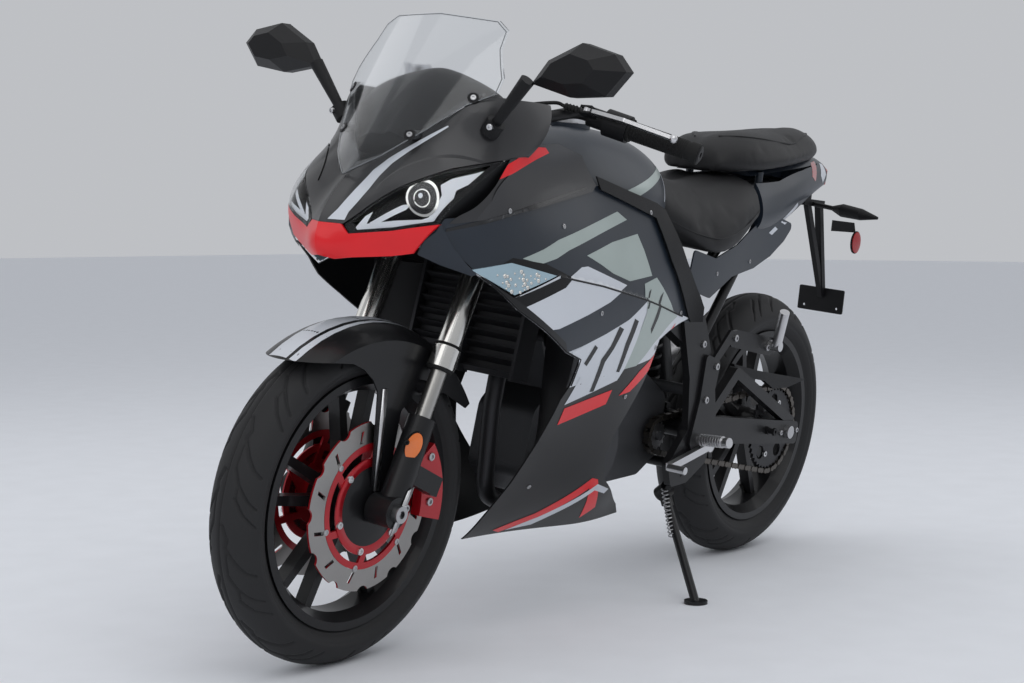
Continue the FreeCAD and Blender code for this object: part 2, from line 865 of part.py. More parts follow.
def chain_loop_wire(grow):
    """The chain's closed line, moved out from its pitch line by the growth."""
    front, rear, slope, spread = chain_tangents()
    small = front_pitch_radius + grow
    large = rear_pitch_radius + grow
    top, low = slope + spread, slope - spread
    shift = V(-chain_width / 2, 0, 0)
    upper = [on_circle(front, small, top) + shift, on_circle(rear, large, top) + shift]
    lower = [on_circle(rear, large, low) + shift, on_circle(front, small, low) + shift]
    back = Part.Arc(upper[1], on_circle(rear, large, slope) + shift, lower[0]).toShape()
    nose = Part.Arc(lower[1], on_circle(front, small, slope + math.pi) + shift,
                    upper[0]).toShape()
    return Part.Wire([Part.makeLine(*upper), back, Part.makeLine(*lower), nose])


def chain_room():
    """The space the chain runs through beside the engine."""
    loop = Part.Face(chain_loop_wire(chain_band)).extrude(V(chain_width * 2, 0, 0))
    loop.translate(V(-chain_width / 2, 0, 0))
    return loop


def chain_path():
    """The narrow band that the swingarm keeps clear of the chain."""
    outer = Part.Face(chain_loop_wire(chain_band / 2 + chain_clearance))
    inner = Part.Face(chain_loop_wire(-chain_band / 2 - chain_clearance))
    return outer.extrude(V(chain_width, 0, 0)).cut(inner.extrude(V(chain_width, 0, 0)))


def chain_pins():
    """The places of the chain's pins, evenly spaced along its closed pitch line."""
    front, rear, slope, spread = chain_tangents()
    step_out = rear_pitch_radius - front_pitch_radius
    run = math.sqrt((rear - front).Length ** 2 - step_out ** 2)
    rear_arc = 2 * spread * rear_pitch_radius
    front_arc = 2 * (math.pi - spread) * front_pitch_radius
    loop = 2 * run + rear_arc + front_arc
    link_count = 2 * round(loop / (2 * chain_pitch))
    top, low = slope + spread, slope - spread
    upper = on_circle(front, front_pitch_radius, top), on_circle(rear, rear_pitch_radius, top)
    lower = on_circle(rear, rear_pitch_radius, low), on_circle(front, front_pitch_radius, low)
    pins = []
    for index in range(link_count):
        along = loop * index / link_count
        if along < run:
            pins.append(upper[0] + (upper[1] - upper[0]) * (along / run))
        elif along < run + rear_arc:
            pins.append(on_circle(rear, rear_pitch_radius, top - (along - run) / rear_pitch_radius))
        elif along < 2 * run + rear_arc:
            share = (along - run - rear_arc) / run
            pins.append(lower[0] + (lower[1] - lower[0]) * share)
        else:
            past = along - 2 * run - rear_arc
            pins.append(on_circle(front, front_pitch_radius, low - past / front_pitch_radius))
    return pins


def link_bar(start, stop, height, waists, x_from, thickness):
    """A chain link's plate between two pins, with its waists in shares of its height."""
    along = unit(stop - start)
    rise = ACROSS.cross(along)
    half = height / 2
    middle = (start + stop) / 2
    points = []
    for end, out in ((start, -1), (stop, 1)):
        for a, b in ((-0.2, 1), (0.9, 0.42), (0.9, -0.42), (-0.2, -1)):
            points.append(end + along * (out * a * half) - rise * (out * b * half))
        points += [middle + rise * (out * waist * half) for waist in waists]
    shift = V(x_from, 0, 0)
    return prism([p + shift for p in points], V(thickness, 0, 0))


def chain():
    """The drive chain: narrow inner links and pairs of waisted outer plates in turn."""
    pins = chain_pins()
    half = chain_width / 2
    pieces = []
    for index, pin in enumerate(pins):
        following = pins[(index + 1) % len(pins)]
        if index % 2:
            for x_from in (-half, half - link_plate):
                pieces.append(link_bar(pin, following, chain_band, [0.7], x_from, link_plate))
        else:
            pieces.append(link_bar(pin, following, roller_radius * 2, [], link_plate - half,
                                   chain_width - 2 * link_plate))
    return pieces[0].fuse(pieces[1:])


def sprocket(centre, pitch_radius, teeth, bore):
    """A toothed wheel whose teeth end just inside the chain's rollers."""
    outer = pitch_radius - roller_radius - sprocket_gap
    root = outer - roller_radius
    points = []
    for index in range(teeth):
        for turn_share, radius in ((0, root), (0.3, root), (0.5, outer), (0.7, outer)):
            angle = 2 * math.pi * (index + turn_share) / teeth
            points.append(on_circle(centre, radius, angle) - V(sprocket_thickness / 2, 0, 0))
    wheel = prism(points, V(sprocket_thickness, 0, 0))
    return wheel.cut(Part.makeCylinder(bore, sprocket_thickness * 3,
                                       centre - V(sprocket_thickness, 0, 0), ACROSS))


def rear_sprocket():
    """The driven sprocket with its carrier on the rear hub."""
    centre = rear_axle + V(chain_line, 0, 0)
    wheel = sprocket(centre, rear_pitch_radius, rear_teeth, hub_radius)
    windows = []
    for index in range(spoke_count):
        hole = Part.makeCylinder(rear_pitch_radius * 0.16, sprocket_thickness * 3,
                                 centre + V(-sprocket_thickness, 0, rear_pitch_radius * 0.66),
                                 ACROSS)
        windows.append(turned(hole, rear_axle, index * 360 / spoke_count))
    wheel = wheel.cut(windows)
    carrier = disc_ring(rear_axle, rear_hub_half_length, chain_line + sprocket_thickness / 2,
                        rear_axle_radius * 2, rear_pitch_radius * 0.48)
    return joined([wheel, carrier])


def rear_disc():
    """The rear rotor on the wheel's right side."""
    inner = -rear_disc_offset - disc_thickness / 2
    rotor = disc_ring(rear_axle, inner, inner + disc_thickness, rear_disc_inner_radius,
                      rear_disc_radius)
    spider = disc_ring(rear_axle, inner, -rear_hub_half_length, rear_axle_radius * 2,
                       rear_disc_inner_radius * 0.6)
    pieces = [rotor, spider]
    for index in range(spoke_count):
        arm = strut(rear_axle + V(inner + disc_thickness / 2, 0, rear_disc_inner_radius * 0.5),
                    rear_axle + V(inner + disc_thickness / 2, 0, rear_disc_inner_radius + overrun),
                    disc_thickness, carrier_arm_width)
        pieces.append(turned(arm, rear_axle, index * 360 / spoke_count))
    return joined(pieces)


def brace_line(side):
    """The top and the rear foot of a swingarm side's brace."""
    half = arm_height / 2
    apex = V(side * arm_centre_x, *spot(0, 0.438, 0.462)[1:])
    return apex, V(side * arm_centre_x, rear_axle.y + half, rear_axle.z + half * 0.6)


def arm_side(side):
    """One side of the swingarm: a tapered box with an upper brace."""
    low_x = side * arm_centre_x - arm_thickness / 2
    half = arm_height / 2
    end = rear_axle + V(0, arm_end_overhang, -arm_end_overhang * 0.14)
    points = [V(low_x, pivot.y - half, pivot.z + half * 0.7), V(low_x, pivot.y, pivot.z + half),
              V(low_x, end.y, end.z + half * 0.85), V(low_x, end.y, end.z - half * 0.85),
              V(low_x, pivot.y, pivot.z - half), V(low_x, pivot.y - half, pivot.z - half * 0.7)]
    arm = prism(points, V(arm_thickness, 0, 0), half * 0.4)
    apex, rear_foot = brace_line(side)
    front_foot = V(side * arm_centre_x, pivot.y + arm_height * 0.9, pivot.z + half * 0.6)
    width = brace_thickness
    braces = [strut(front_foot, apex, width, half * 0.8), strut(apex, rear_foot, width, half * 0.8),
              Part.makeCylinder(half * 0.4, width, apex - V(width / 2, 0, 0), ACROSS)]
    return [arm] + braces


def swingarm():
    """The swingarm with its cross tubes and the holes of its axle and pivot."""
    pieces = arm_side(1) + arm_side(-1)
    tube_half = arm_centre_x + arm_thickness / 2
    pieces.append(Part.makeCylinder(pivot_tube_radius, 2 * tube_half,
                                    pivot - V(tube_half, 0, 0), ACROSS))
    cross_at = pivot + V(0, arm_height * 0.8, 0)
    pieces.append(strut(cross_at - V(arm_centre_x, 0, 0), cross_at + V(arm_centre_x, 0, 0),
                        arm_height * 0.5, arm_height * 0.7, ALONG))
    holes = [Part.makeCylinder(radius + bearing_gap, 4 * tube_half,
                               centre - V(2 * tube_half, 0, 0), ACROSS)
             for radius, centre in ((rear_axle_radius, rear_axle), (pivot_bolt_radius, pivot))]
    return joined(pieces).cut(holes + [chain_path()])


def spool_seat(side):
    """Where a stand spool meets the swingarm's outer face."""
    out = arm_centre_x + arm_thickness / 2 + fit_gap
    return rear_axle + V(side * out, -spool_ahead, spool_ahead * 0.12)


def paddock_spools():
    """The two waisted spools a paddock stand lifts, each with its threaded hole."""
    pieces = []
    for side in (1, -1):
        seat = spool_seat(side)
        tip = seat + V(side * spool_length, 0, 0)
        spool = joined([rod(seat, tip, spool_radius * 0.7),
                        rod(seat, seat + (tip - seat) * 0.25, spool_radius),
                        rod(seat + (tip - seat) * 0.75, tip, spool_radius)])
        pieces.append(spool.cut(rod(tip, tip - V(side * spool_thread_depth, 0, 0),
                                    spool_thread_radius)))
    return Part.makeCompound(pieces)


def rear_axle_shaft():
    """The rear axle with its nut and head."""
    half = arm_centre_x + arm_thickness / 2
    return joined([disc_ring(rear_axle, -half, half, 0, rear_axle_radius),
                   disc_ring(rear_axle, half, half + axle_nut_length, 0, axle_nut_radius),
                   disc_ring(rear_axle, -half - axle_nut_length, -half, 0, axle_nut_radius)])


def rear_shock():
    """The single spring and damper between swingarm and frame."""
    low = pivot + V(0, arm_height * 0.8, arm_height * 0.35 + shock_rod_radius)
    tube = spot(0, shock_top_y_share, shock_top_z_share)
    high = tube - unit(tube - low) * frame_tube_radius
    run = high - low
    lower_seat = low + run * 0.25
    upper_seat = low + run * 0.85
    eye = rod(low - V(shock_body_radius, 0, 0), low + V(shock_body_radius, 0, 0),
              shock_rod_radius)
    cover_low = low + run * 0.08
    return joined([rod(low, high, shock_rod_radius), rod(lower_seat, upper_seat, shock_radius),
                   rod(cover_low, lower_seat, shock_body_radius), eye])


def chain_guard():
    """The finned guard above the chain's upper run."""
    outline_shares = ((0.452, 0.478), (0.564, 0.456), (0.803, 0.420), (0.715, 0.406),
                      (0.647, 0.408), (0.600, 0.430), (0.470, 0.450))
    low_x = chain_line + chain_width / 2 + fit_gap * 10
    return side_prism(outline_shares, low_x, arm_centre_x - arm_thickness * 0.4 - fit_gap)


spar_stations_shares = (
    (0.08, -0.405, 0.870, 0.080), (0.34, -0.300, 0.815, 0.085), (0.46, -0.120, 0.720, 0.080),
    (0.48, 0.060, 0.640, 0.075), (0.47, 0.200, 0.570, 0.080))


def spar(side):
    """A main spar from the head tube back to the swingarm pivot plate."""
    wires = []
    for x, y, z, tall in spar_stations_shares:
        middle = spot(side * x, y, z)
        tall = tall * body_height
        corners = [middle + V(dx * spar_width / 2, 0, dz * tall / 2)
                   for dx, dz in ((1, 1), (-1, 1), (-1, -1), (1, -1))]
        wires.append(Part.makePolygon(corners + [corners[0]]))
    return Part.makeLoft(wires, True, True)


def pivot_plate(side):
    """The plate that carries the swingarm pivot and the footrest hanger."""
    outline_shares = ((0.150, 0.600), (0.235, 0.600), (0.300, 0.480), (0.330, 0.360),
                      (0.300, 0.278), (0.230, 0.243), (0.170, 0.240), (0.150, 0.290),
                      (0.215, 0.360), (0.200, 0.470))
    inner = side * frame_half_width
    return side_prism(outline_shares, inner, inner + side * pivot_plate_thickness,
                      frame_tube_radius)


rear_rail_shares = ((0.47, 0.150, 0.615), (0.40, 0.330, 0.740), (0.34, 0.560, 0.840),
                    (0.20, 0.800, 0.880))


def rear_rail(side):
    """The corner places of a rear subframe rail."""
    return [spot(side * x, y, z) for x, y, z in rear_rail_shares]


def rail_post(side, run, share, height):
    """A post that stands on one straight run of a rear rail."""
    low, high = rear_rail(side)[run:run + 2]
    foot = low + (high - low) * share
    post = rod(foot, foot + UP * height, frame_tube_radius * 0.8)
    return post.cut(rod(low, high, frame_tube_radius + fit_gap))


def cradle(side):
    """The frame's tube from a main spar down to the engine's front mount."""
    return rod(spot(side * 0.30, -0.300, 0.800),
               spot(side * cradle_foot_x_share, -0.270, 0.560), frame_tube_radius * 1.3)


def main_frame():
    """Head tube, spars, pivot plates, cross tubes and the rear subframe."""
    head_low = lower_clamp_height + lower_clamp_thickness / 2 + head_tube_inset
    head_high = upper_clamp_height - upper_clamp_thickness / 2 - head_tube_inset
    pieces = [rod(steer_point(head_low), steer_point(head_high), head_tube_radius)]
    for side in (1, -1):
        pieces.append(spar(side))
        pieces.append(pivot_plate(side))
        rail = rear_rail(side)
        pieces.append(bar_path(rail, frame_tube_radius, frame_tube_radius * 5))
        stay = [spot(side * 0.50, 0.235, 0.520), spot(side * 0.36, 0.520, 0.805)]
        pieces.append(rod(stay[0], stay[1], frame_tube_radius))
        pieces.append(cradle(side))
    for y, z, half_share in ((0.200, 0.575, 0.50), (0.560, 0.838, 0.34), (0.790, 0.877, 0.21),
                             (0.264, 0.268, 0.53),
                             (shock_top_y_share, shock_top_z_share, 0.46)):
        pieces.append(rod(spot(-half_share, y, z), spot(half_share, y, z), frame_tube_radius))
    pieces.append(rod(pivot - V(frame_half_width + overrun, 0, 0),
                      pivot + V(frame_half_width + overrun, 0, 0), pivot_bolt_radius))
    pieces.append(stand_mount())
    stay_root = steer_point(fairing_stay_height) + fork_ahead * (head_tube_radius / 2)
    stay_knee = spot(0, -0.610, 0.850)
    pieces.append(strut(stay_root, stay_knee, fairing_stay_width, fairing_stay_tall))
    pieces.append(strut(stay_knee - V(0, 0, fairing_stay_tall / 2), spot(0, -0.588, 0.930),
                        fairing_stay_width, fairing_stay_tall))
    nose_arm = strut(stay_knee, spot(0, -0.900, 0.800), fairing_stay_width, fairing_stay_tall)
    behind = nose_arm.cut(nose_cowl()).Solids
    pieces.append(max(behind, key=lambda piece: piece.CenterOfMass.y))
    frame = joined(pieces).cut(cockpit_panel())
    bore = rod(steer_point(head_low - overrun), steer_point(head_high + overrun),
               stem_radius + bearing_gap)
    return frame.cut(bore)


def engine():
    """The single-cylinder engine as one closed mass, with its side covers."""
    crankcase_shares = ((-0.260, 0.300), (-0.240, 0.420), (-0.170, 0.480), (0.020, 0.500),
                        (0.150, 0.470), (0.235, 0.420), (0.235, 0.300), (0.150, 0.255),
                        (-0.200, 0.245))
    half = engine_half_width
    case = side_prism(crankcase_shares, -half, half, head_tube_radius)
    barrel_low = spot(0, -0.110, 0.440)
    barrel_high = spot(0, -0.215, 0.690)
    width = body_half_width * 0.52
    barrel = strut(barrel_low, barrel_high, width, width * 1.05)
    head = strut(barrel_low + (barrel_high - barrel_low) * 0.62, barrel_high,
                 width * 1.2, width * 1.25)
    covers = []
    for side, y, z, radius_share in ((1, -0.080, 0.345, 0.33), (-1, -0.100, 0.350, 0.36)):
        centre = V(side * half, y * body_reach, z * body_height)
        covers.append(rod(centre - V(side * overrun, 0, 0),
                          centre + V(side * engine_cover_depth, 0, 0),
                          body_half_width * radius_share))
    sprocket_centre = V(chain_line, front_sprocket_y_share * body_reach,
                        front_sprocket_z_share * body_height)
    room = Part.makeCylinder(front_pitch_radius + chain_band * 1.6, body_half_width,
                             sprocket_centre - V(chain_width * 0.9, 0, 0), ACROSS)
    shaft = Part.makeCylinder(roller_radius * 2, chain_line - engine_half_width + chain_width,
                              sprocket_centre - V(chain_line - engine_half_width + overrun, 0, 0),
                              ACROSS)
    lugs = []
    lugs.append(rod(V(-frame_half_width, 0.222 * body_reach, 0.440 * body_height),
                    V(frame_half_width, 0.222 * body_reach, 0.440 * body_height),
                    engine_lug_radius))
    front_half = cradle_foot_x_share * body_half_width
    lugs.append(rod(V(-front_half, -0.268 * body_reach, 0.575 * body_height),
                    V(front_half, -0.268 * body_reach, 0.575 * body_height), engine_lug_radius))
    room = room.fuse([cradle(1), cradle(-1), chain_room()])
    return joined([joined([case, barrel, head] + covers + lugs).cut(room), shaft])


def drive_sprocket():
    """The small sprocket on the engine's output shaft."""
    front = chain_tangents()[0]
    return sprocket(front, front_pitch_radius, front_teeth, roller_radius * 2 + fit_gap)


def radiator():
    """The radiator core and the slatted guard in front of it."""
    half = body_half_width * 0.52
    low = spot(0, -0.372, 0.500)
    high = spot(0, -0.330, 0.700)
    core = strut(low, high, half * 2, panel_wall * 8)
    pieces = [core]
    slat_count = 9
    run = high - low
    for index in range(slat_count):
        middle = low + run * ((index + 0.5) / slat_count) + V(0, -panel_wall * 7, 0)
        pieces.append(strut(middle - V(half, 0, 0), middle + V(half, 0, 0),
                            panel_wall, panel_wall * 5, UP + ALONG))
    for side in (1, -1, 0):
        shift = V(side * (half - panel_wall), -panel_wall * 6, 0)
        pieces.append(strut(low + shift, high + shift, panel_wall * 2, panel_wall * 9))
    for side in (1, -1):
        back = spot(side * 0.433, -0.352, 0.600)
        mount = rod(back, V(back.x, -0.275 * body_reach, back.z), shock_rod_radius)
        pieces.append(mount.cut(cradle(side)))
    return joined(pieces)


def muffler_line():
    """The muffler's front end and the direction of its axis."""
    return spot(-0.76, 0.400, 0.335), unit(spot(-0.06, 0.300, 0.120))


def exhaust():
    """The header pipe from the cylinder head down under the engine to the right."""
    low, run = muffler_line()
    points = [spot(0.14, -0.200, 0.610), spot(0.15, -0.312, 0.590), spot(0.20, -0.352, 0.440),
              spot(0.18, -0.345, 0.270), spot(0.10, -0.230, 0.222), spot(0, -0.080, 0.221),
              spot(-0.20, 0.120, 0.221), spot(-0.52, 0.270, 0.222),
              low - run * (muffler_radius * 1.8), low + run * (header_radius * 0.7)]
    return bar_path(points, header_radius, header_radius * 3).cut(engine())


def muffler():
    """The round muffler on the right, hollow at its tail pipe."""
    low, run = muffler_line()
    high = low + run * muffler_length
    body = rod(low + run * muffler_radius * 0.6, high, muffler_radius)
    inlet = Part.makeCone(header_radius + panel_wall, muffler_radius, muffler_radius * 0.9, low,
                          run)
    cap = Part.makeCone(muffler_radius, muffler_radius * 0.62, muffler_radius * 0.5, high, run)
    tail = rod(high, high + run * muffler_radius * 0.7, muffler_bore + panel_wall)
    bore = rod(high - run * muffler_radius, high + run * muffler_radius, muffler_bore)
    socket = rod(low - run * overrun, low + run * header_radius, header_radius + fit_gap)
    return joined([body, inlet, cap, tail]).cut([bore, socket])


side_y_shares = (-0.73, -0.60, -0.48, -0.38, -0.22, -0.06, 0.13)
side_z_shares = (0.15, 0.25, 0.35, 0.45, 0.57, 0.69, 0.80, 0.94)
side_x_shares = (
    (-0.10, -0.10, -0.08, -0.04, 0.10, 0.25, 0.30),
    (0.24, 0.32, 0.35, 0.38, 0.51, 0.56, 0.53),
    (0.40, 0.56, 0.62, 0.64, 0.72, 0.71, 0.66),
    (0.56, 0.76, 0.85, 0.84, 0.83, 0.79, 0.74),
    (0.72, 0.89, 0.97, 0.96, 0.92, 0.85, 0.78),
    (0.72, 0.87, 0.95, 0.96, 0.92, 0.85, 0.78),
    (0.68, 0.81, 0.86, 0.86, 0.82, 0.77, 0.74),
    (0.64, 0.74, 0.79, 0.76, 0.69, 0.66, 0.68))


def side_skin(inset=0.0):
    """The flank of the bodywork on the left, set in by the inset."""
    grid_shares = []
    for z, row in zip(side_z_shares, side_x_shares):
        grid_shares.append([(x - inset / body_half_width, y, z)
                            for x, y in zip(row, side_y_shares)])
    return skin(grid_shares)


def flank_panel(outline_shares, inset=0.0, radius=0.0):
    """A side panel: the part of the flank inside a side-view outline."""
    slab = side_skin(inset).extrude(V(-panel_wall, 0, 0))
    return slab.common(side_prism(outline_shares, overrun, body_half_width * 1.2, radius))


seam_shares = ((-0.700, 0.792), (-0.640, 0.850), (-0.578, 0.902), (-0.500, 0.932),
               (-0.420, 0.938))
upper_flank_shares = seam_shares + ((-0.330, 0.920), (-0.285, 0.868), (-0.300, 0.856),
                                    (-0.500, 0.822), (-0.600, 0.806))
middle_flank_shares = (
    (-0.710, 0.800), (-0.600, 0.814), (-0.500, 0.830), (-0.300, 0.864), (-0.262, 0.868),
    (-0.165, 0.848), (-0.064, 0.820), (-0.014, 0.731), (0.060, 0.650), (0.105, 0.600),
    (0.093, 0.598), (-0.134, 0.650), (-0.300, 0.681), (-0.442, 0.700), (-0.540, 0.700),
    (-0.630, 0.716), (-0.710, 0.781))
lamp_shares = ((-0.643, 0.720), (-0.558, 0.733), (-0.446, 0.711), (-0.554, 0.679))
lower_flank_shares = (
    (-0.650, 0.722), (-0.556, 0.674), (-0.438, 0.711), (-0.300, 0.691), (-0.134, 0.660),
    (0.093, 0.608), (-0.043, 0.574), (-0.062, 0.540), (-0.360, 0.505), (-0.350, 0.556),
    (-0.404, 0.573), (-0.471, 0.612), (-0.550, 0.654), (-0.593, 0.688))
belly_shares = (
    (-0.362, 0.5047), (-0.062, 0.5397), (-0.085, 0.495), (-0.149, 0.401), (-0.160, 0.350),
    (-0.128, 0.298), (0.017, 0.217), (0.040, 0.194), (-0.100, 0.188), (-0.300, 0.188),
    (-0.402, 0.189), (-0.392, 0.250), (-0.386, 0.309), (-0.388, 0.374), (-0.384, 0.434),
    (-0.376, 0.483))


def behind_face(panel):
    """What is left of a side panel behind the face and outside the headlights."""
    room = mask_panel(lens_outline_shares, projector_depth + fit_gap)
    pieces = panel.cut([mask_slab(panel_wall + fit_gap), room]).Solids
    return max(pieces, key=lambda piece: piece.Volume)


def upper_fairings():
    """The upper side panels, between the headlights and the tank."""
    return both(behind_face(flank_panel(upper_flank_shares)))


def middle_fairings():
    """The side panels behind the front indicators, set in from the lower ones."""
    return both(behind_face(flank_panel(middle_flank_shares, panel_wall + fit_gap * 2)))


def side_fairings():
    """The proud side panels under the front indicators."""
    return both(flank_panel(lower_flank_shares))


def lower_fairings():
    """The belly panels down both sides of the engine."""
    return both(flank_panel(belly_shares))


def front_indicators():
    """The turn lamps let into the side panels."""
    return both(flank_panel(lamp_shares, fit_gap))


mask_shares = (
    ((0, -0.782, 0.706), (0.20, -0.764, 0.708), (0.42, -0.738, 0.714), (0.59, -0.710, 0.724),
     (0.72, -0.680, 0.734), (0.80, -0.640, 0.742)),
    ((0, -0.808, 0.776), (0.20, -0.780, 0.775), (0.44, -0.750, 0.777), (0.64, -0.716, 0.785),
     (0.75, -0.675, 0.795), (0.82, -0.620, 0.805)),
    ((0, -0.756, 0.850), (0.22, -0.738, 0.847), (0.44, -0.732, 0.847), (0.62, -0.690, 0.850),
     (0.75, -0.640, 0.855), (0.81, -0.590, 0.860)),
    ((0, -0.705, 0.902), (0.24, -0.690, 0.898), (0.46, -0.672, 0.898), (0.63, -0.628, 0.900),
     (0.76, -0.578, 0.900), (0.80, -0.530, 0.900)),
    ((0, -0.668, 0.955), (0.26, -0.652, 0.953), (0.50, -0.628, 0.952), (0.66, -0.588, 0.950),
     (0.76, -0.530, 0.948), (0.79, -0.470, 0.944)),
    ((0, -0.622, 1.012), (0.26, -0.612, 1.012), (0.52, -0.584, 1.012), (0.66, -0.548, 1.010),
     (0.72, -0.490, 1.006), (0.73, -0.440, 1.003)))
chin_outline_shares = ((0, 0.722), (0.10, 0.718), (0.20, 0.7235), (0.42, 0.732), (0.545, 0.740),
                       (0.69, 0.7925),
                       (0.44, 0.7746), (0.185, 0.7626), (0.130, 0.7776), (0, 0.7776))
lens_outline_shares = ((0.19, 0.763), (0.44, 0.775), (0.68, 0.793), (0.74, 0.850),
                       (0.765, 0.902), (0.60, 0.882), (0.44, 0.848), (0.28, 0.812),
                       (0.15, 0.776))
cowl_outline_shares = ((0, 0.778), (0.14, 0.778), (0.28, 0.814), (0.44, 0.850), (0.60, 0.884),
                       (0.765, 0.904), (0.84, 0.925), (0.84, 1.002), (0.64, 1.008),
                       (0.52, 1.004), (0.38, 0.962), (0.20, 0.912), (0, 0.878))
screw_place_shares = ((0.30, 0.932), (0.55, 1.006))


def mask_slab(wall):
    """The bike's face on the left half, as thick as the wall."""
    return skin(mask_shares).extrude(unit(V(-1, 1, 0)) * wall)


def mask_panel(outline_shares, wall):
    """The part of the face inside a front-view outline, on the left half."""
    cutter = front_prism(outline_shares, -body_reach, -0.3 * body_reach)
    return mask_slab(wall).common(cutter)


def centred(left):
    """A left half joined to its right half across the middle."""
    return joined([left, mirrored(left)])


def screen_pads():
    """The rubber pads that fill the gap between cowl and screen at the screws."""
    behind_screen = skin(screen_shares).extrude(V(0, body_reach, 0))
    before_cowl = skin(mask_shares).extrude(V(0, -body_reach, 0))
    pads = []
    for x, z in screw_place_shares:
        pad = rod(spot(x, -1, z), spot(x, 0, z), screen_pad_radius)
        pads.append(pad.common(behind_screen).common(before_cowl))
    return pads


def nose_cowl():
    """The cowl over the headlights, with its sharp middle ridge."""
    panel = mask_panel(cowl_outline_shares, panel_wall)
    return centred(panel.cut(screen_sheet()).fuse(screen_pads()))


def chin_panel():
    """The faceted chin under the headlights."""
    return centred(mask_panel(chin_outline_shares, panel_wall))


def headlight_lenses():
    """The clear covers of both headlights."""
    return both(mask_panel(lens_outline_shares, lens_wall))


def headlight_units():
    """The dark lamp housings behind the lenses, with a round projector each."""
    slab = mask_panel(lens_outline_shares, projector_depth).cut(mask_slab(lens_wall))
    middle_x = sum(x for x, z in lens_outline_shares) / len(lens_outline_shares)
    middle_z = sum(z for x, z in lens_outline_shares) / len(lens_outline_shares)
    mouth_shares = [(middle_x + (x - middle_x) * 0.88, middle_z + (z - middle_z) * 0.88)
                    for x, z in lens_outline_shares]
    housing = slab.cut(mask_panel(mouth_shares, projector_depth * 0.5))
    centre = spot(0.48, -0.690, 0.834)
    lamp = rod(centre, centre + V(0, projector_depth, 0), projector_radius)
    lamp = lamp.common(slab).cut(mask_slab(lens_wall * 2))
    return both(joined([housing, lamp]))


screen_shares = (
    ((-0.90, -0.560, 0.840), (-0.45, -0.700, 0.840), (0, -0.768, 0.840), (0.45, -0.700, 0.840),
     (0.90, -0.560, 0.840)),
    ((-0.86, -0.545, 0.940), (-0.43, -0.655, 0.940), (0, -0.694, 0.940), (0.43, -0.655, 0.940),
     (0.86, -0.545, 0.940)),
    ((-0.80, -0.525, 1.040), (-0.40, -0.595, 1.040), (0, -0.619, 1.040), (0.40, -0.595, 1.040),
     (0.80, -0.525, 1.040)),
    ((-0.70, -0.470, 1.160), (-0.35, -0.507, 1.160), (0, -0.520, 1.160), (0.35, -0.507, 1.160),
     (0.70, -0.470, 1.160)))
screen_outline_shares = ((0, 0.856), (0.20, 0.892), (0.38, 0.942), (0.52, 0.987),
                         (0.66, 1.012), (0.66, 1.040), (0.57, 1.090), (0.55, 1.122),
                         (0.46, 1.138), (0, 1.146))


def screen_sheet():
    """The screen's curved sheet before it is trimmed."""
    return skin(screen_shares).extrude(V(0, -screen_wall, 0))


def windscreen():
    """The clear screen with its chamfered top corners."""
    sheet = screen_sheet()
    right = [(-x, z) for x, z in reversed(screen_outline_shares[1:-1])]
    outline = list(screen_outline_shares) + right
    return sheet.common(front_prism(outline, -body_reach, -0.3 * body_reach))


cockpit_stations_shares = (
    (-0.660, ((0, 0.930), (0.16, 0.925), (0.26, 0.905), (0.16, 0.890), (0, 0.888))),
    (-0.600, ((0, 1.005), (0.26, 0.990), (0.48, 0.945), (0.30, 0.905), (0, 0.900))),
    (-0.550, ((0, 1.045), (0.28, 1.030), (0.60, 0.975), (0.36, 0.930), (0, 0.925))),
    (-0.500, ((0, 1.045), (0.26, 1.032), (0.56, 0.985), (0.36, 0.950), (0, 0.945))))


def cockpit_panel():
    """The dark instrument housing under the screen."""
    return hull_loft(cockpit_stations_shares)


instrument_shares = ((-0.34, 0.960), (0.34, 0.960), (0.38, 0.990), (0.26, 1.026),
                     (-0.26, 1.026), (-0.38, 0.990))


def instruments():
    """The dash on the back of its housing, with a recessed screen facing the rider."""
    front = cockpit_stations_shares[-1][0] * body_reach + fit_gap
    back = front + instrument_depth
    low, high = instrument_shares[0][1], instrument_shares[-2][1]
    middle = (low + high) / 2
    screen_part_shares = [(x * 0.82, middle + (z - middle) * 0.76) for x, z in instrument_shares]
    recess = front_prism(screen_part_shares, back - panel_wall, back + overrun)
    return front_prism(instrument_shares, front, back, overrun).cut(recess)


def mirror(side):
    """A mirror: foot on the cowl, tapered stalk and faceted head."""
    base = spot(side * 0.70, -0.585, 0.960)
    knee = spot(side * 0.96, -0.590, 1.040)
    run = unit(knee - base)
    stalk = Part.makeCone(mirror_stalk_radius, mirror_stalk_radius * 1.5, (knee - base).Length,
                          base, run)
    head_shares = ((0.98, 1.035), (1.10, 1.075), (1.36, 1.107), (1.62, 1.092), (1.72, 1.066),
                   (1.58, 1.025), (1.30, 1.018))
    rim_points = [spot(side * x, -0.585, z) for x, z in head_shares]
    back = prism(rim_points, V(0, mirror_rim_depth, 0))
    centre = spot(side * 1.36, -0.585, 1.062)
    inner = [p + (centre - p) * 0.45 - V(0, mirror_dome_depth, 0) for p in rim_points]
    dome = Part.makeLoft([Part.makePolygon(rim_points + [rim_points[0]]),
                          Part.makePolygon(inner + [inner[0]])], True, True)
    foot = rod(base - run * mirror_foot_radius, base + run * mirror_stalk_radius,
               mirror_foot_radius)
    face = mask_slab(projector_depth)
    return joined([joined([stalk, foot]).cut(face), back, dome])


def mirrors():
    """Both mirrors."""
    return both(mirror(1))


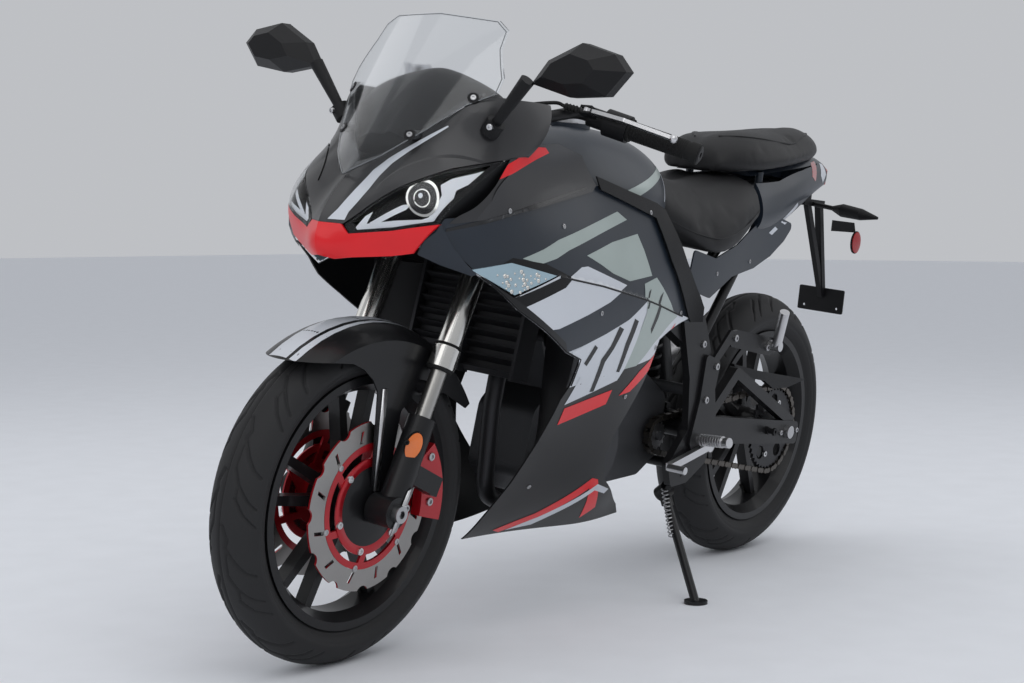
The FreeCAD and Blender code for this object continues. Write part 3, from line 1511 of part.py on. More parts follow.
tank_stations_shares = (
    (-0.330, ((0, 0.905), (0.20, 0.900), (0.34, 0.880), (0.36, 0.855), (0.20, 0.838), (0, 0.836))),
    (-0.260, ((0, 0.950), (0.27, 0.940), (0.48, 0.898), (0.58, 0.860), (0.40, 0.828), (0, 0.822))),
    (-0.160, ((0, 0.966), (0.30, 0.954), (0.54, 0.905), (0.67, 0.850), (0.48, 0.800), (0, 0.790))),
    (-0.050, ((0, 0.962), (0.30, 0.950), (0.54, 0.905), (0.64, 0.840), (0.46, 0.775), (0, 0.765))),
    (0.050, ((0, 0.935), (0.24, 0.925), (0.46, 0.885), (0.52, 0.815), (0.40, 0.760), (0, 0.750))))


def fuel_tank():
    """The tank with the blind neck of its filler."""
    body = hull_loft(tank_stations_shares)
    top = filler_place()
    ring = rod(top - UP * cap_height, top, cap_ring_radius)
    neck = rod(top - UP * filler_depth, top + UP * overrun, filler_radius)
    roof_shares = [(y, z + tall / 2 + fit_gap / body_height)
                   for x, y, z, tall in spar_stations_shares]
    tunnel_shares = roof_shares + [(roof_shares[-1][0], 0), (roof_shares[0][0], 0)]
    half = spar_stations_shares[3][0] * body_half_width + spar_width / 2 + panel_wall
    tunnel = side_prism(tunnel_shares, -half, half)
    return joined([body, ring]).cut([neck, tunnel])


def filler_place():
    """The middle of the filler's top face."""
    return V(0, filler_y_share * body_reach, body_height * 0.974)


def fuel_cap():
    """The round lid over the filler, hinged at its front."""
    top = filler_place() + UP * fit_gap
    lid = rod(top, top + UP * cap_height, cap_lid_radius)
    pin_at = top + V(0, -cap_lid_radius, cap_height / 2)
    pin = rod(pin_at - V(cap_lid_radius * 0.3, 0, 0), pin_at + V(cap_lid_radius * 0.3, 0, 0),
              cap_pin_radius)
    return joined([lid, pin])


trim_outline_shares = (
    (-0.285, 0.884), (-0.188, 0.862), (-0.070, 0.838), (-0.036, 0.826), (0.040, 0.727),
    (0.115, 0.652), (0.150, 0.600), (0.095, 0.600), (0.052, 0.648), (-0.026, 0.728),
    (-0.078, 0.810), (-0.188, 0.838), (-0.275, 0.860))


def side_trims():
    """The curved trims between tank, seat and side panels."""
    return both(flank_panel(trim_outline_shares, -panel_wall))


rider_seat_stations_shares = (
    (0.062, ((0, 0.900), (0.28, 0.892), (0.44, 0.850), (0.46, 0.800), (0.30, 0.775), (0, 0.772))),
    (0.150, ((0, 0.868), (0.32, 0.864), (0.54, 0.826), (0.60, 0.765), (0.40, 0.745), (0, 0.755))),
    (0.240, ((0, 0.858), (0.34, 0.858), (0.58, 0.820), (0.62, 0.735), (0.42, 0.745), (0, 0.770))),
    (0.350, ((0, 0.872), (0.34, 0.872), (0.56, 0.840), (0.58, 0.765), (0.40, 0.775), (0, 0.800))),
    (0.440, ((0, 0.888), (0.32, 0.888), (0.50, 0.860), (0.52, 0.808), (0.36, 0.812), (0, 0.820))))


def rider_seat():
    """The rider's seat, plain under its cover, with the rubber feet it rests on."""
    feet = [rail_post(side, 0, 0.75, seat_foot_height) for side in (1, -1)]
    return hull_loft(rider_seat_stations_shares).fuse(feet)


pillion_stations_shares = (
    (0.345, ((0, 0.940), (0.18, 0.935), (0.28, 0.920), (0.24, 0.902), (0, 0.895))),
    (0.420, ((0, 0.968), (0.28, 0.962), (0.44, 0.930), (0.38, 0.898), (0, 0.893))),
    (0.560, ((0, 0.980), (0.30, 0.975), (0.47, 0.942), (0.40, 0.908), (0, 0.900))),
    (0.700, ((0, 0.994), (0.24, 0.988), (0.38, 0.960), (0.32, 0.926), (0, 0.918))),
    (0.830, ((0, 0.988), (0.12, 0.982), (0.20, 0.965), (0.16, 0.945), (0, 0.940))))


def seat_plane_block(side):
    """A block above the passenger seat's base plane for side 1, or below it for side -1."""
    gap = fit_gap / body_height if side < 0 else 0
    far = side * body_half_width / body_height
    line_shares = ((0.300, 0.892 - gap), (0.900, 0.949 - gap))
    outline_shares = line_shares + ((0.900, 0.949 + far), (0.300, 0.892 + far))
    return side_prism(outline_shares, -body_half_width, body_half_width)


def pillion_seat():
    """The passenger's seat, plain under its cover, on its flat base."""
    return hull_loft(pillion_stations_shares).common(seat_plane_block(1))


tail_stations_shares = (
    (0.445, ((0, 0.906), (0.34, 0.900), (0.50, 0.855), (0.52, 0.790), (0.34, 0.760), (0, 0.770))),
    (0.560, ((0, 0.916), (0.34, 0.908), (0.46, 0.862), (0.44, 0.790), (0.28, 0.770), (0, 0.780))),
    (0.700, ((0, 0.932), (0.28, 0.926), (0.38, 0.890), (0.34, 0.828), (0.20, 0.810), (0, 0.812))),
    (0.800, ((0, 0.942), (0.20, 0.938), (0.28, 0.912), (0.26, 0.858), (0.16, 0.844), (0, 0.842))),
    (0.880, ((0, 0.940), (0.14, 0.932), (0.21, 0.914), (0.20, 0.880), (0.12, 0.868), (0, 0.866))))


def tail_room():
    """The channel under the tail that takes the subframe, open below and ahead."""
    plan_shares = ((0.400, 0.445), (0.560, 0.415), (0.700, 0.335), (0.800, 0.258), (0.845, 0.190))
    half = [V(x * body_half_width, y * body_reach, body_height / 2) for y, x in plan_shares]
    right = [V(-p.x, p.y, p.z) for p in reversed(half)]
    roof = seat_plane_block(-1)
    roof.translate(V(0, 0, -tail_roof))
    return prism(half + right, UP * (body_height / 2)).common(roof)


def tail_solid():
    """The tail's outer form, flat where the passenger's seat rests."""
    return hull_loft(tail_stations_shares).common(seat_plane_block(-1))


def tail_cowl():
    """The tail under the passenger's seat, with the posts that stand on the subframe."""
    roof = seat_plane_block(-1)
    roof.translate(V(0, 0, -tail_roof / 2))
    posts = [rail_post(side, 1, 0.7, body_half_width).common(roof) for side in (1, -1)]
    return tail_solid().cut(tail_room()).fuse(posts)


def tail_light():
    """The lamp that closes the tail."""
    outline_shares = ((-0.19, 0.878), (0.19, 0.878), (0.20, 0.914), (0.13, 0.930),
                      (-0.13, 0.930), (-0.20, 0.914))
    start = 0.880 * body_reach + fit_gap
    return front_prism(outline_shares, start, start + body_reach * 0.012, overrun)


side_cover_shares = ((0.110, 0.664), (0.140, 0.742), (0.240, 0.722), (0.350, 0.748),
                     (0.440, 0.790), (0.530, 0.812), (0.640, 0.790), (0.600, 0.752),
                     (0.540, 0.719), (0.456, 0.694), (0.335, 0.680), (0.220, 0.640))


def side_covers():
    """The painted covers under the seat."""
    grid_shares = [[(x, y, z) for x, y in zip(row, (0.08, 0.25, 0.42, 0.66))]
                   for z, row in zip((0.58, 0.70, 0.82), (
                       (0.70, 0.62, 0.52, 0.40), (0.66, 0.60, 0.50, 0.42),
                       (0.60, 0.58, 0.52, 0.44)))]
    slab = skin(grid_shares).extrude(V(-panel_wall, 0, 0))
    cover = slab.common(side_prism(side_cover_shares, 0, body_half_width, frame_tube_radius))
    tail = tail_solid()
    tail.translate(V(fit_gap, 0, 0))
    return both(cover.cut(tail))


def plate_carrier():
    """The carrier under the tail, with its blank plate bracket."""
    root = spot(0, 0.860, 0.835)
    arm_top = spot(0, 0.965, 0.830)
    foot = spot(0, 1.035, 0.600)
    half = carrier_arm_thickness / 2
    bracket_outline_shares = ((-plate_half_width / body_half_width, 0.560),
                              (plate_half_width / body_half_width, 0.560),
                              (plate_half_width / body_half_width, 0.620),
                              (-plate_half_width / body_half_width, 0.620))
    bracket = front_prism(bracket_outline_shares, foot.y, foot.y + plate_wall, half * 0.5)
    pieces = [strut(root, arm_top, carrier_arm_thickness * 2, carrier_arm_thickness),
              strut(arm_top, foot, carrier_arm_thickness, carrier_arm_thickness),
              strut(spot(0, 0.905, 0.828), foot, carrier_arm_thickness * 0.8,
                    carrier_arm_thickness),
              strut(root + V(0, carrier_arm_thickness, 0),
                    root + V(0, carrier_arm_thickness, carrier_arm_thickness * 3),
                    carrier_arm_thickness * 2, carrier_arm_thickness * 2), bracket]
    holes = [Part.makeCylinder(plate_hole_radius, plate_wall * 3,
                               spot(0, 1.035, 0.572) + V(side * plate_hole_spacing / 2,
                                                         -plate_wall, 0), ALONG)
             for side in (1, -1)]
    return joined(pieces).cut([tail_solid(), tail_light()] + holes)


def rear_indicator(side):
    """A slim turn lamp that tapers out from its stalk."""
    root = spot(0, 0.905, 0.830) + V(side * (carrier_arm_thickness + fit_gap * 3), 0, 0)
    tip = spot(side * 0.80, 0.880, 0.816)
    run = tip - root
    profile_shares = ((0, 0), (0, 0.030), (0.30, 0.030), (0.46, 0.085), (0.75, 0.075),
                      (1, 0.018), (1, 0))
    points = [V(0, r * run.Length, along * run.Length) for along, r in profile_shares]
    lamp = Part.Face(Part.makePolygon(points + [points[0]])).revolve(ORIGIN, UP, 360)
    lamp.Placement = FreeCAD.Placement(root, FreeCAD.Rotation(UP, run))
    return lamp


def rear_indicators():
    """The slim turn lamps beside the plate carrier."""
    return both(rear_indicator(1))


def inner_fairing():
    """The dark inner walls from the side panels in to the radiator."""
    grid_shares = (
        ((0.82, -0.390, 0.340), (0.58, -0.350, 0.340), (0.55, -0.325, 0.340)),
        ((0.98, -0.384, 0.450), (0.68, -0.350, 0.450), (0.56, -0.325, 0.450)),
        ((1.08, -0.374, 0.560), (0.74, -0.350, 0.560), (0.56, -0.325, 0.560)),
        ((1.08, -0.404, 0.680), (0.74, -0.360, 0.680), (0.56, -0.325, 0.680)))
    wall = skin(grid_shares).extrude(V(0, panel_wall, 0))
    outside = side_skin(panel_wall).extrude(V(body_half_width, 0, 0))
    return both(wall.cut(outside))


def footrest_hangers():
    """The plates that carry the rider's and passenger's footrests."""
    plate_shares = ((0.250, 0.520), (0.310, 0.500), (0.290, 0.400), (0.290, 0.330),
                    (0.240, 0.300), (0.215, 0.330), (0.240, 0.420))
    inner = frame_half_width + pivot_plate_thickness + fit_gap
    left = side_prism(plate_shares, inner, inner + panel_wall * 2, frame_tube_radius)
    rear_shares = ((0.330, 0.560), (0.370, 0.565), (0.500, 0.545), (0.545, 0.530),
                   (0.530, 0.500), (0.490, 0.505), (0.345, 0.530))
    rear = side_prism(rear_shares, inner, inner + panel_wall * 2, frame_tube_radius)
    link = side_prism(((0.260, 0.490), (0.300, 0.500), (0.372, 0.560), (0.340, 0.566)),
                      inner, inner + panel_wall * 2)
    return both(joined([left, rear, link]))


def footpeg(side):
    """A rider's footrest and a folded passenger's footrest."""
    inner = side * (frame_half_width + pivot_plate_thickness + panel_wall * 2 + fit_gap * 2)
    root = V(inner, 0.250 * body_reach, 0.335 * body_height)
    end = root + V(side * peg_length, -peg_length * 0.15, peg_length * 0.12)
    stub = root + V(side * peg_radius, 0, 0)
    rider = joined([rod(root, stub + V(side * peg_radius, 0, 0), peg_radius),
                    rod(stub, end, peg_radius)])
    rear_root = V(inner, 0.515 * body_reach, 0.525 * body_height)
    rear_knuckle = rear_root + V(side * peg_radius * 1.6, 0, 0)
    rear_end = rear_knuckle + V(side * peg_length * 0.35, -peg_length * 0.4, peg_length)
    passenger = joined([rod(rear_root, rear_knuckle + V(side * peg_radius, 0, 0), peg_radius),
                        rod(rear_knuckle, rear_end, peg_radius)])
    return [rider, passenger]


def footpegs():
    """All four footrests."""
    left = footpeg(1)
    return Part.makeCompound(left + [mirrored(peg) for peg in left])


def foot_controls():
    """The gear lever on the left and the brake pedal on the right."""
    levers = []
    for side in (1, -1):
        inner = side * (frame_half_width + pivot_plate_thickness + panel_wall * 2
                        + fit_gap * 2 + lever_width / 2)
        root = V(inner, 0.285 * body_reach, 0.320 * body_height)
        tip = V(inner, 0.130 * body_reach, 0.290 * body_height)
        toe = tip + V(side * peg_length * 0.5, 0, 0)
        levers.append(joined([strut(root, tip, lever_width, lever_width * 1.2),
                              rod(tip, toe, lever_tip_radius),
                              rod(root - V(side * lever_width / 2, 0, 0),
                                  root + V(side * lever_width / 2, 0, 0), lever_width)]))
    return Part.makeCompound(levers)


def stand_pivot_place():
    """The middle of the side stand's pivot bolt."""
    return V(stand_pivot_x, stand_pivot_y_share * body_reach, stand_pivot_z_share * body_height)


def stand_foot_place():
    """The middle of the stand's foot on the floor, as the bike leans."""
    floor_z = stand_foot_x * math.tan(lean) - park_lift / math.cos(lean)
    return V(stand_foot_x, stand_foot_y_share * body_reach, floor_z)


def stand_axis():
    """The stand's pivot axis, which folds the leg back and up beside the bike."""
    leg = unit(stand_foot_place() - stand_pivot_place())
    folded = unit(V(*stand_fold_shares))
    return unit(leg.cross(folded))


def side_stand():
    """The side stand: eye, leg and flat foot, in its down position."""
    hinge = stand_pivot_place()
    foot = stand_foot_place()
    axis = stand_axis()
    run = unit(foot - hinge)
    half = stand_eye_thickness / 2
    eye = rod(hinge - axis * half, hinge + axis * half, stand_eye_radius)
    bore = rod(hinge - axis * half * 4, hinge + axis * half * 4,
               stand_pivot_radius + bearing_gap * 2)
    neck = strut(hinge + run * stand_pivot_radius * 1.5, hinge + run * stand_eye_radius * 2,
                 stand_eye_thickness, stand_eye_radius * 1.4, axis)
    leg = rod(hinge + run * (stand_eye_radius + overrun), foot, stand_leg_radius)
    pad = rod(foot, foot + floor_up * stand_foot_thickness, stand_foot_radius)
    under = rod(foot - floor_up * stand_foot_radius, foot, stand_foot_radius * 3)
    return joined([eye, neck, leg, pad]).cut([bore, under])


def park(shape):
    """Lean the upright bike onto its stand and set it over the origin."""
    result = shape.copy()
    turn = FreeCAD.Rotation(ALONG, lean_deg)
    move = FreeCAD.Placement(V(park_shift_x, park_shift_y, park_lift), turn)
    result.Placement = move.multiply(result.Placement)
    return result


def stand_mount():
    """The forked lug on the frame that carries the side stand, with its pivot bolt."""
    hinge = stand_pivot_place()
    axis = stand_axis()
    half = stand_eye_thickness / 2 + stand_fork_gap
    outer = half + stand_lug_thickness
    root = V(frame_half_width + pivot_plate_thickness / 2, 0.215 * body_reach,
             0.275 * body_height)
    lug = rod(hinge - axis * outer, hinge + axis * outer, stand_eye_radius)
    arm = strut(hinge, root, outer * 2, stand_eye_radius * 0.85, axis)
    room = rod(hinge - axis * half, hinge + axis * half, stand_eye_radius * 1.25)
    bolt = rod(hinge - axis * outer, hinge + axis * outer, stand_pivot_radius)
    return joined([joined([lug, arm]).cut(room), bolt])


NODES = {
    "main_frame": main_frame,
    "engine": engine,
    "drive_sprocket": drive_sprocket,
    "radiator": radiator,
    "exhaust_pipe": exhaust,
    "muffler": muffler,
    "swingarm": swingarm,
    "paddock_spools": paddock_spools,
    "rear_axle": rear_axle_shaft,
    "rear_caliper": rear_caliper,
    "rear_shock": rear_shock,
    "chain": chain,
    "chain_guard": chain_guard,
    "fuel_tank": fuel_tank,
    "fuel_cap": fuel_cap,
    "side_trims": side_trims,
    "rider_seat": rider_seat,
    "pillion_seat": pillion_seat,
    "tail_cowl": tail_cowl,
    "tail_light": tail_light,
    "side_covers": side_covers,
    "plate_carrier": plate_carrier,
    "rear_indicators": rear_indicators,
    "nose_cowl": nose_cowl,
    "chin_panel": chin_panel,
    "headlight_lenses": headlight_lenses,
    "headlight_units": headlight_units,
    "windscreen": windscreen,
    "cockpit_panel": cockpit_panel,
    "instruments": instruments,
    "upper_fairings": upper_fairings,
    "middle_fairings": middle_fairings,
    "side_fairings": side_fairings,
    "lower_fairings": lower_fairings,
    "front_indicators": front_indicators,
    "inner_fairing": inner_fairing,
    "mirrors": mirrors,
    "footrest_hangers": footrest_hangers,
    "footpegs": footpegs,
    "foot_controls": foot_controls,
    "side_stand": side_stand,
    "triple_clamps": triple_clamps,
    "steering_stem": steering_stem,
    "fork_uppers": fork_uppers,
    "fork_lowers": fork_lowers,
    "handlebars": handlebars,
    "grips": grips,
    "hand_controls": hand_controls,
    "hand_levers": hand_levers,
    "front_fender": front_fender,
    "front_calipers": front_calipers,
    "front_axle": front_axle_shaft,
    "front_tyre": front_tyre,
    "front_rim": front_rim,
    "front_discs": front_discs,
    "front_disc_carriers": front_disc_carriers,
    "rear_tyre": rear_tyre,
    "rear_rim": rear_rim,
    "rear_sprocket": rear_sprocket,
    "rear_disc": rear_disc,
}


def main():
    """Build every node and write one STEP file for each."""
    os.makedirs("parts", exist_ok=True)
    for name, build in NODES.items():
        shape = park(build())
        print(name, len(shape.Solids), "solids, valid", shape.isValid())
        shape.exportStep("parts/" + name + ".step")


main()
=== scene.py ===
import json
import math

import bmesh
import bpy
import numpy as np
from mathutils import Matrix, Vector
from mathutils.bvhtree import BVHTree


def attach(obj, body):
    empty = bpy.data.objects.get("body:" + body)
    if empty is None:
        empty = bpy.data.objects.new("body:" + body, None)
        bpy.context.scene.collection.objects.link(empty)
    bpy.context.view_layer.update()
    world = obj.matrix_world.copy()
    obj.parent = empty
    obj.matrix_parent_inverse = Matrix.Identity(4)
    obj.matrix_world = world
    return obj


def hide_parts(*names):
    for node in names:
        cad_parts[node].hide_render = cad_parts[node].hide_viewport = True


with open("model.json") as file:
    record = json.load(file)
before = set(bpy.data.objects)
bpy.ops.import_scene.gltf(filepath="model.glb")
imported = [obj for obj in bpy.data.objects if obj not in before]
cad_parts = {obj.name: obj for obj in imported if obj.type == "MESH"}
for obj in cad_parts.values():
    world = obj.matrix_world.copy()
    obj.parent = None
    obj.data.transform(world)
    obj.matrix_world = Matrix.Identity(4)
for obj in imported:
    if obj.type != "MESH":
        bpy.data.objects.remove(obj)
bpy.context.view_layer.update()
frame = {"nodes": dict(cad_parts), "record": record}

# Everything is drawn in millimetres on the upright bike: X left, -Y forward, Z up.
# PARK turns that into metres on the leaning bike.
MM = 0.001
LEAN = math.radians(6.77)
PARK_PLACE = (-0.1257, -0.0299, 0.0004)
PARK = Matrix.Translation(PARK_PLACE) @ Matrix.Rotation(LEAN, 4, "Y") @ Matrix.Scale(MM, 4)
UNPARK = PARK.inverted()
UPRIGHT = UNPARK.to_3x3().normalized()

FRONT_AXLE = Vector((0, -690, 293))
REAR_AXLE = Vector((0, 690, 308))
RAKE = math.radians(23.5)
FORK_UP = Vector((0, math.sin(RAKE), math.cos(RAKE)))
FORK_AHEAD = Vector((0, -math.cos(RAKE), math.sin(RAKE)))
FORK_HALF = 100
FORK_BEHIND = 8
X = Vector((1, 0, 0))
Y = Vector((0, 1, 0))
Z = Vector((0, 0, 1))

CAMERA_PLACE = (1.9646, -2.9483, 0.7548)
CAMERA_YAW = math.radians(37.11)
CAMERA_PITCH = math.radians(3.59)
CAMERA_LENS = 61.32


# Camera, floor and light


FLOOR_HALF = 40
SKY = (0.86, 0.88, 0.92, 1)
SKY_STRENGTH = 0.60
# Each lamp's place, size and power
LAMPS = {
    "key": ((2.6, -2.2, 4.2), 3.6, 48),
    "front": ((0.4, -5.2, 2.6), 3.0, 28),
    "fill": ((-3.6, -1.2, 3.0), 3.2, 14),
    "rear": ((2.2, 3.6, 3.2), 3.2, 20),
    "top": ((0.0, 0.3, 4.6), 4.6, 24),
}
LAMP_TARGET = Vector((0, 0, 0.5))


def link(name, data):
    """A new object in the scene."""
    thing = bpy.data.objects.new(name, data)
    bpy.context.scene.collection.objects.link(thing)
    return thing


def camera():
    """The camera at the photograph's place."""
    data = bpy.data.cameras.new("camera")
    data.lens = CAMERA_LENS
    eye = link("camera", data)
    eye.location = CAMERA_PLACE
    eye.rotation_euler = (math.pi / 2 - CAMERA_PITCH, 0, CAMERA_YAW)
    bpy.context.scene.camera = eye


def floor():
    """A wide pale floor."""
    grid = bmesh.new()
    bmesh.ops.create_grid(grid, x_segments=1, y_segments=1, size=FLOOR_HALF)
    mesh = bpy.data.meshes.new("floor")
    grid.to_mesh(mesh)
    mesh.materials.append(surface("floor_pale", (0.84, 0.86, 0.90), 0.8, shade=0.015, shine=0.1))
    link("floor", mesh)


def studio():
    """Soft area lamps and a pale sky."""
    bpy.context.scene.view_settings.view_transform = "Standard"
    world = bpy.data.worlds.new("studio")
    world.use_nodes = True
    background = world.node_tree.nodes["Background"]
    background.inputs["Color"].default_value = SKY
    background.inputs["Strength"].default_value = SKY_STRENGTH
    bpy.context.scene.world = world
    for name, (place, size, power) in LAMPS.items():
        data = bpy.data.lights.new(name, "AREA")
        data.size = size
        data.energy = power
        lamp = link(name, data)
        lamp.location = place
        lamp.rotation_euler = (LAMP_TARGET - Vector(place)).to_track_quat("-Z", "Y").to_euler()


# Materials


CLOUD_SCALE = 9.0
GRAIN_RISE = 0.0005


def noise(tree, place, scale, detail=2.0):
    """A noise texture at a scale per metre."""
    node = tree.nodes.new("ShaderNodeTexNoise")
    node.inputs["Scale"].default_value = scale
    node.inputs["Detail"].default_value = detail
    tree.links.new(place.outputs["Object"], node.inputs["Vector"])
    return node


def toned(name, low, high, span, detail):
    """A new material that drifts between two tones, and the nodes that steer the drift."""
    material = bpy.data.materials.new(name)
    material.use_nodes = True
    tree = material.node_tree
    place = tree.nodes.new("ShaderNodeTexCoord")
    cloud = noise(tree, place, CLOUD_SCALE, detail)
    tones = tree.nodes.new("ShaderNodeValToRGB")
    for element, position, tone in zip(tones.color_ramp.elements, span, (low, high)):
        element.position = position
        element.color = (*[min(part, 1) for part in tone], 1)
    shader = tree.nodes["Principled BSDF"]
    tree.links.new(cloud.outputs["Fac"], tones.inputs["Fac"])
    tree.links.new(tones.outputs["Color"], shader.inputs["Base Color"])
    return material, place, cloud


def surface(name, colour, rough, metallic=0.0, coat=0.0, grain=0.0, grain_scale=800.0,
            shade=0.06, stretch=None, coat_rough=0.08, shine=0.5):
    """A finish with a slight change of tone and gloss over it, and a fine grain."""
    low = [part * (1 - shade) for part in colour]
    high = [part * (1 + shade) for part in colour]
    material, place, cloud = toned(name, low, high, (0.3, 0.7), 5.0)
    tree = material.node_tree
    shader = tree.nodes["Principled BSDF"]
    shader.inputs["Metallic"].default_value = metallic
    shader.inputs["Specular IOR Level"].default_value = shine
    shader.inputs["Coat Weight"].default_value = coat
    shader.inputs["Coat Roughness"].default_value = coat_rough
    gloss = tree.nodes.new("ShaderNodeMapRange")
    gloss.inputs["To Min"].default_value = rough * 0.85
    gloss.inputs["To Max"].default_value = rough * 1.15
    tree.links.new(cloud.outputs["Fac"], gloss.inputs["Value"])
    tree.links.new(gloss.outputs["Result"], shader.inputs["Roughness"])
    if grain:
        fine = noise(tree, place, grain_scale)
        if stretch:
            squeeze = tree.nodes.new("ShaderNodeMapping")
            squeeze.inputs["Scale"].default_value = stretch
            tree.links.new(place.outputs["Object"], squeeze.inputs["Vector"])
            tree.links.new(squeeze.outputs["Vector"], fine.inputs["Vector"])
        bump = tree.nodes.new("ShaderNodeBump")
        bump.inputs["Strength"].default_value = grain
        bump.inputs["Distance"].default_value = GRAIN_RISE
        tree.links.new(fine.outputs["Fac"], bump.inputs["Height"])
        tree.links.new(bump.outputs["Normal"], shader.inputs["Normal"])
    return material


def clear(name, colour, rough, index):
    """A clear moulding with a slight change of tone."""
    material, _, _ = toned(name, [part * 0.97 for part in colour], colour, (0, 1), 2.0)
    shader = material.node_tree.nodes["Principled BSDF"]
    shader.inputs["Transmission Weight"].default_value = 1.0
    shader.inputs["IOR"].default_value = index
    shader.inputs["Roughness"].default_value = rough
    return material


# Each slot's colour, roughness and what else its look needs
LOOKS = {
    "frame_black": ((0.007, 0.007, 0.008), 0.42, dict(coat=0.1, grain=0.2, shine=0.3)),
    "engine_grey": ((0.045, 0.046, 0.05), 0.5, dict(metallic=0.5, grain=0.6)),
    "steel": ((0.45, 0.45, 0.46), 0.3, dict(metallic=1.0, grain=0.1)),
    "alloy_dark": ((0.03, 0.03, 0.033), 0.45, dict(metallic=0.6, grain=0.3)),
    "alloy": ((0.62, 0.62, 0.63), 0.32, dict(metallic=1.0, grain=0.15)),
    "chain_steel": ((0.10, 0.09, 0.08), 0.38, dict(metallic=1.0, shade=0.3)),
    "black_plastic": ((0.006, 0.006, 0.007), 0.5, dict(grain=0.35, grain_scale=1400, shine=0.25)),
    "navy_paint": ((0.011, 0.017, 0.027), 0.42,
                   dict(coat=0.25, coat_rough=0.2, shade=0.12, shine=0.35)),
    "white_paint": ((0.60, 0.63, 0.68), 0.35, dict(coat=0.4, shade=0.02)),
    "graphite_paint": ((0.026, 0.026, 0.028), 0.42,
                       dict(metallic=0.3, coat=0.35, coat_rough=0.16, grain=0.12,
                            grain_scale=4000)),
    "red_paint": ((0.74, 0.004, 0.010), 0.34, dict(coat=0.3, shine=0.35)),
    "black_paint": ((0.005, 0.005, 0.006), 0.4, dict(coat=0.2, coat_rough=0.14, shine=0.3)),
    "seat_cover": ((0.011, 0.011, 0.012), 0.5, dict(grain=0.6, grain_scale=900, shine=0.3)),
    "red_lens": ((0.35, 0.01, 0.012), 0.12, dict(coat=1.0)),
    "polished_chrome": ((0.66, 0.65, 0.62), 0.16, dict(metallic=1.0, shade=0.04)),
    "grip_rubber": ((0.010, 0.010, 0.010), 0.7, dict(grain=0.5, shine=0.25)),
    "red_metal": ((0.42, 0.006, 0.014), 0.34, dict(metallic=0.45, coat=0.4)),
    "tyre_rubber": ((0.018, 0.018, 0.019), 0.62,
                    dict(grain=0.4, grain_scale=500, shade=0.12, shine=0.3)),
    "black_wheel": ((0.006, 0.006, 0.007), 0.4, dict(coat=0.15, shine=0.3)),
    "disc_steel": ((0.34, 0.33, 0.32), 0.34, dict(metallic=1.0, grain=0.2, stretch=(8, 1, 1))),
}
# Looks of single details, each with the record's slot it belongs to
EXTRA_LOOKS = {
    "pale_paint": ("white_paint", (0.34, 0.40, 0.38), 0.35, dict(coat=0.4)),
    "orange_lens": ("red_lens", (0.75, 0.16, 0.01), 0.15, dict(coat=1.0)),
    "yellow_button": ("black_plastic", (0.75, 0.42, 0.02), 0.4, {}),
    "mirror_glass": ("polished_chrome", (0.75, 0.77, 0.80), 0.03, dict(metallic=1.0)),
    "blue_lens": ("clear_glass", (0.36, 0.50, 0.58), 0.16, dict(metallic=0.35, coat=1.0)),
    "lamp_white": ("white_paint", (0.86, 0.88, 0.92), 0.3, dict(coat=0.5, shade=0.02)),
    "screen_shade": ("black_plastic", (0.006, 0.006, 0.007), 0.5, dict(shine=0.25)),
    # screen_edge is an opaque grey for a painted edge highlight: the dark line that light draws
    # along the clear screen's edge
    "screen_edge": ("clear_glass", (0.16, 0.17, 0.18), 0.2, dict(coat=0.5)),
    "lamp_dark": ("black_plastic", (0.004, 0.004, 0.005), 0.16, dict(coat=0.2, shine=0.4)),
    "satin_tube": ("polished_chrome", (0.42, 0.41, 0.39), 0.3, dict(metallic=1.0, grain=0.1)),
}
# Each finish's material and slot
FINISH = {name: (surface(name, *look, **more), name) for name, (*look, more) in LOOKS.items()}
for name, (slot, *look, more) in EXTRA_LOOKS.items():
    FINISH[name] = (surface(name, *look, **more), slot)
for name, colour, rough, index in (("clear_glass", (0.96, 0.98, 1.0), 0.06, 1.4),
                                   ("lens_glass", (0.96, 0.97, 0.98), 0.05, 1.12)):
    FINISH[name] = (clear(name, colour, rough, index), "clear_glass")


# Drawing


def place_mesh(name, mesh, finish, body):
    """Gives a mesh its finish and lets it ride on its body."""
    for face in mesh.polygons:
        face.use_smooth = True
    thing = link(name, mesh)
    material, slot = FINISH[finish]
    mesh.materials.append(material)
    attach(thing, body)
    return thing


def settle(name, bm, finish, body="root", crease=32):
    """Parks a drawing and places it, with its edges sharp beyond a crease's angle."""
    bmesh.ops.recalc_face_normals(bm, faces=bm.faces)
    bm.transform(PARK)
    limit = math.radians(crease)
    for edge in bm.edges:
        edge.smooth = len(edge.link_faces) == 2 and edge.calc_face_angle(0) < limit
    mesh = bpy.data.meshes.new(name)
    bm.to_mesh(mesh)
    bm.free()
    place_mesh(name, mesh, finish, body)


def square_to(direction):
    """Two unit vectors square to a direction and to each other."""
    direction = direction.normalized()
    helper = Z if abs(direction.z) < 0.9 else X
    first = direction.cross(helper).normalized()
    return first, direction.cross(first).normalized()


def skin_rings(bm, rings):
    """Joins rings of points of equal count with faces, and closes both ends."""
    rows = [[bm.verts.new(p) for p in ring] for ring in rings]
    for low, high in zip(rows, rows[1:]):
        for i in range(len(low)):
            j = (i + 1) % len(low)
            bm.faces.new((low[i], low[j], high[j], high[i]))
    bm.faces.new(list(reversed(rows[0])))
    bm.faces.new(rows[-1])


def ring_at(centre, first, second, radius, sides, turn=0.0):
    """A circle's points in the plane of two unit vectors."""
    return [centre + (first * math.cos(a) + second * math.sin(a)) * radius
            for a in (turn + 2 * math.pi * i / sides for i in range(sides))]


SMALLEST = 0.05
BOLT_SIDES = 18


def lathe(bm, start, direction, profile, sides, turn=0.0):
    """Turns a profile of (along, radius) about a direction."""
    direction = direction.normalized()
    first, second = square_to(direction)
    rings = [ring_at(start + direction * along, first, second, max(radius, SMALLEST), sides, turn)
             for along, radius in profile]
    skin_rings(bm, rings)


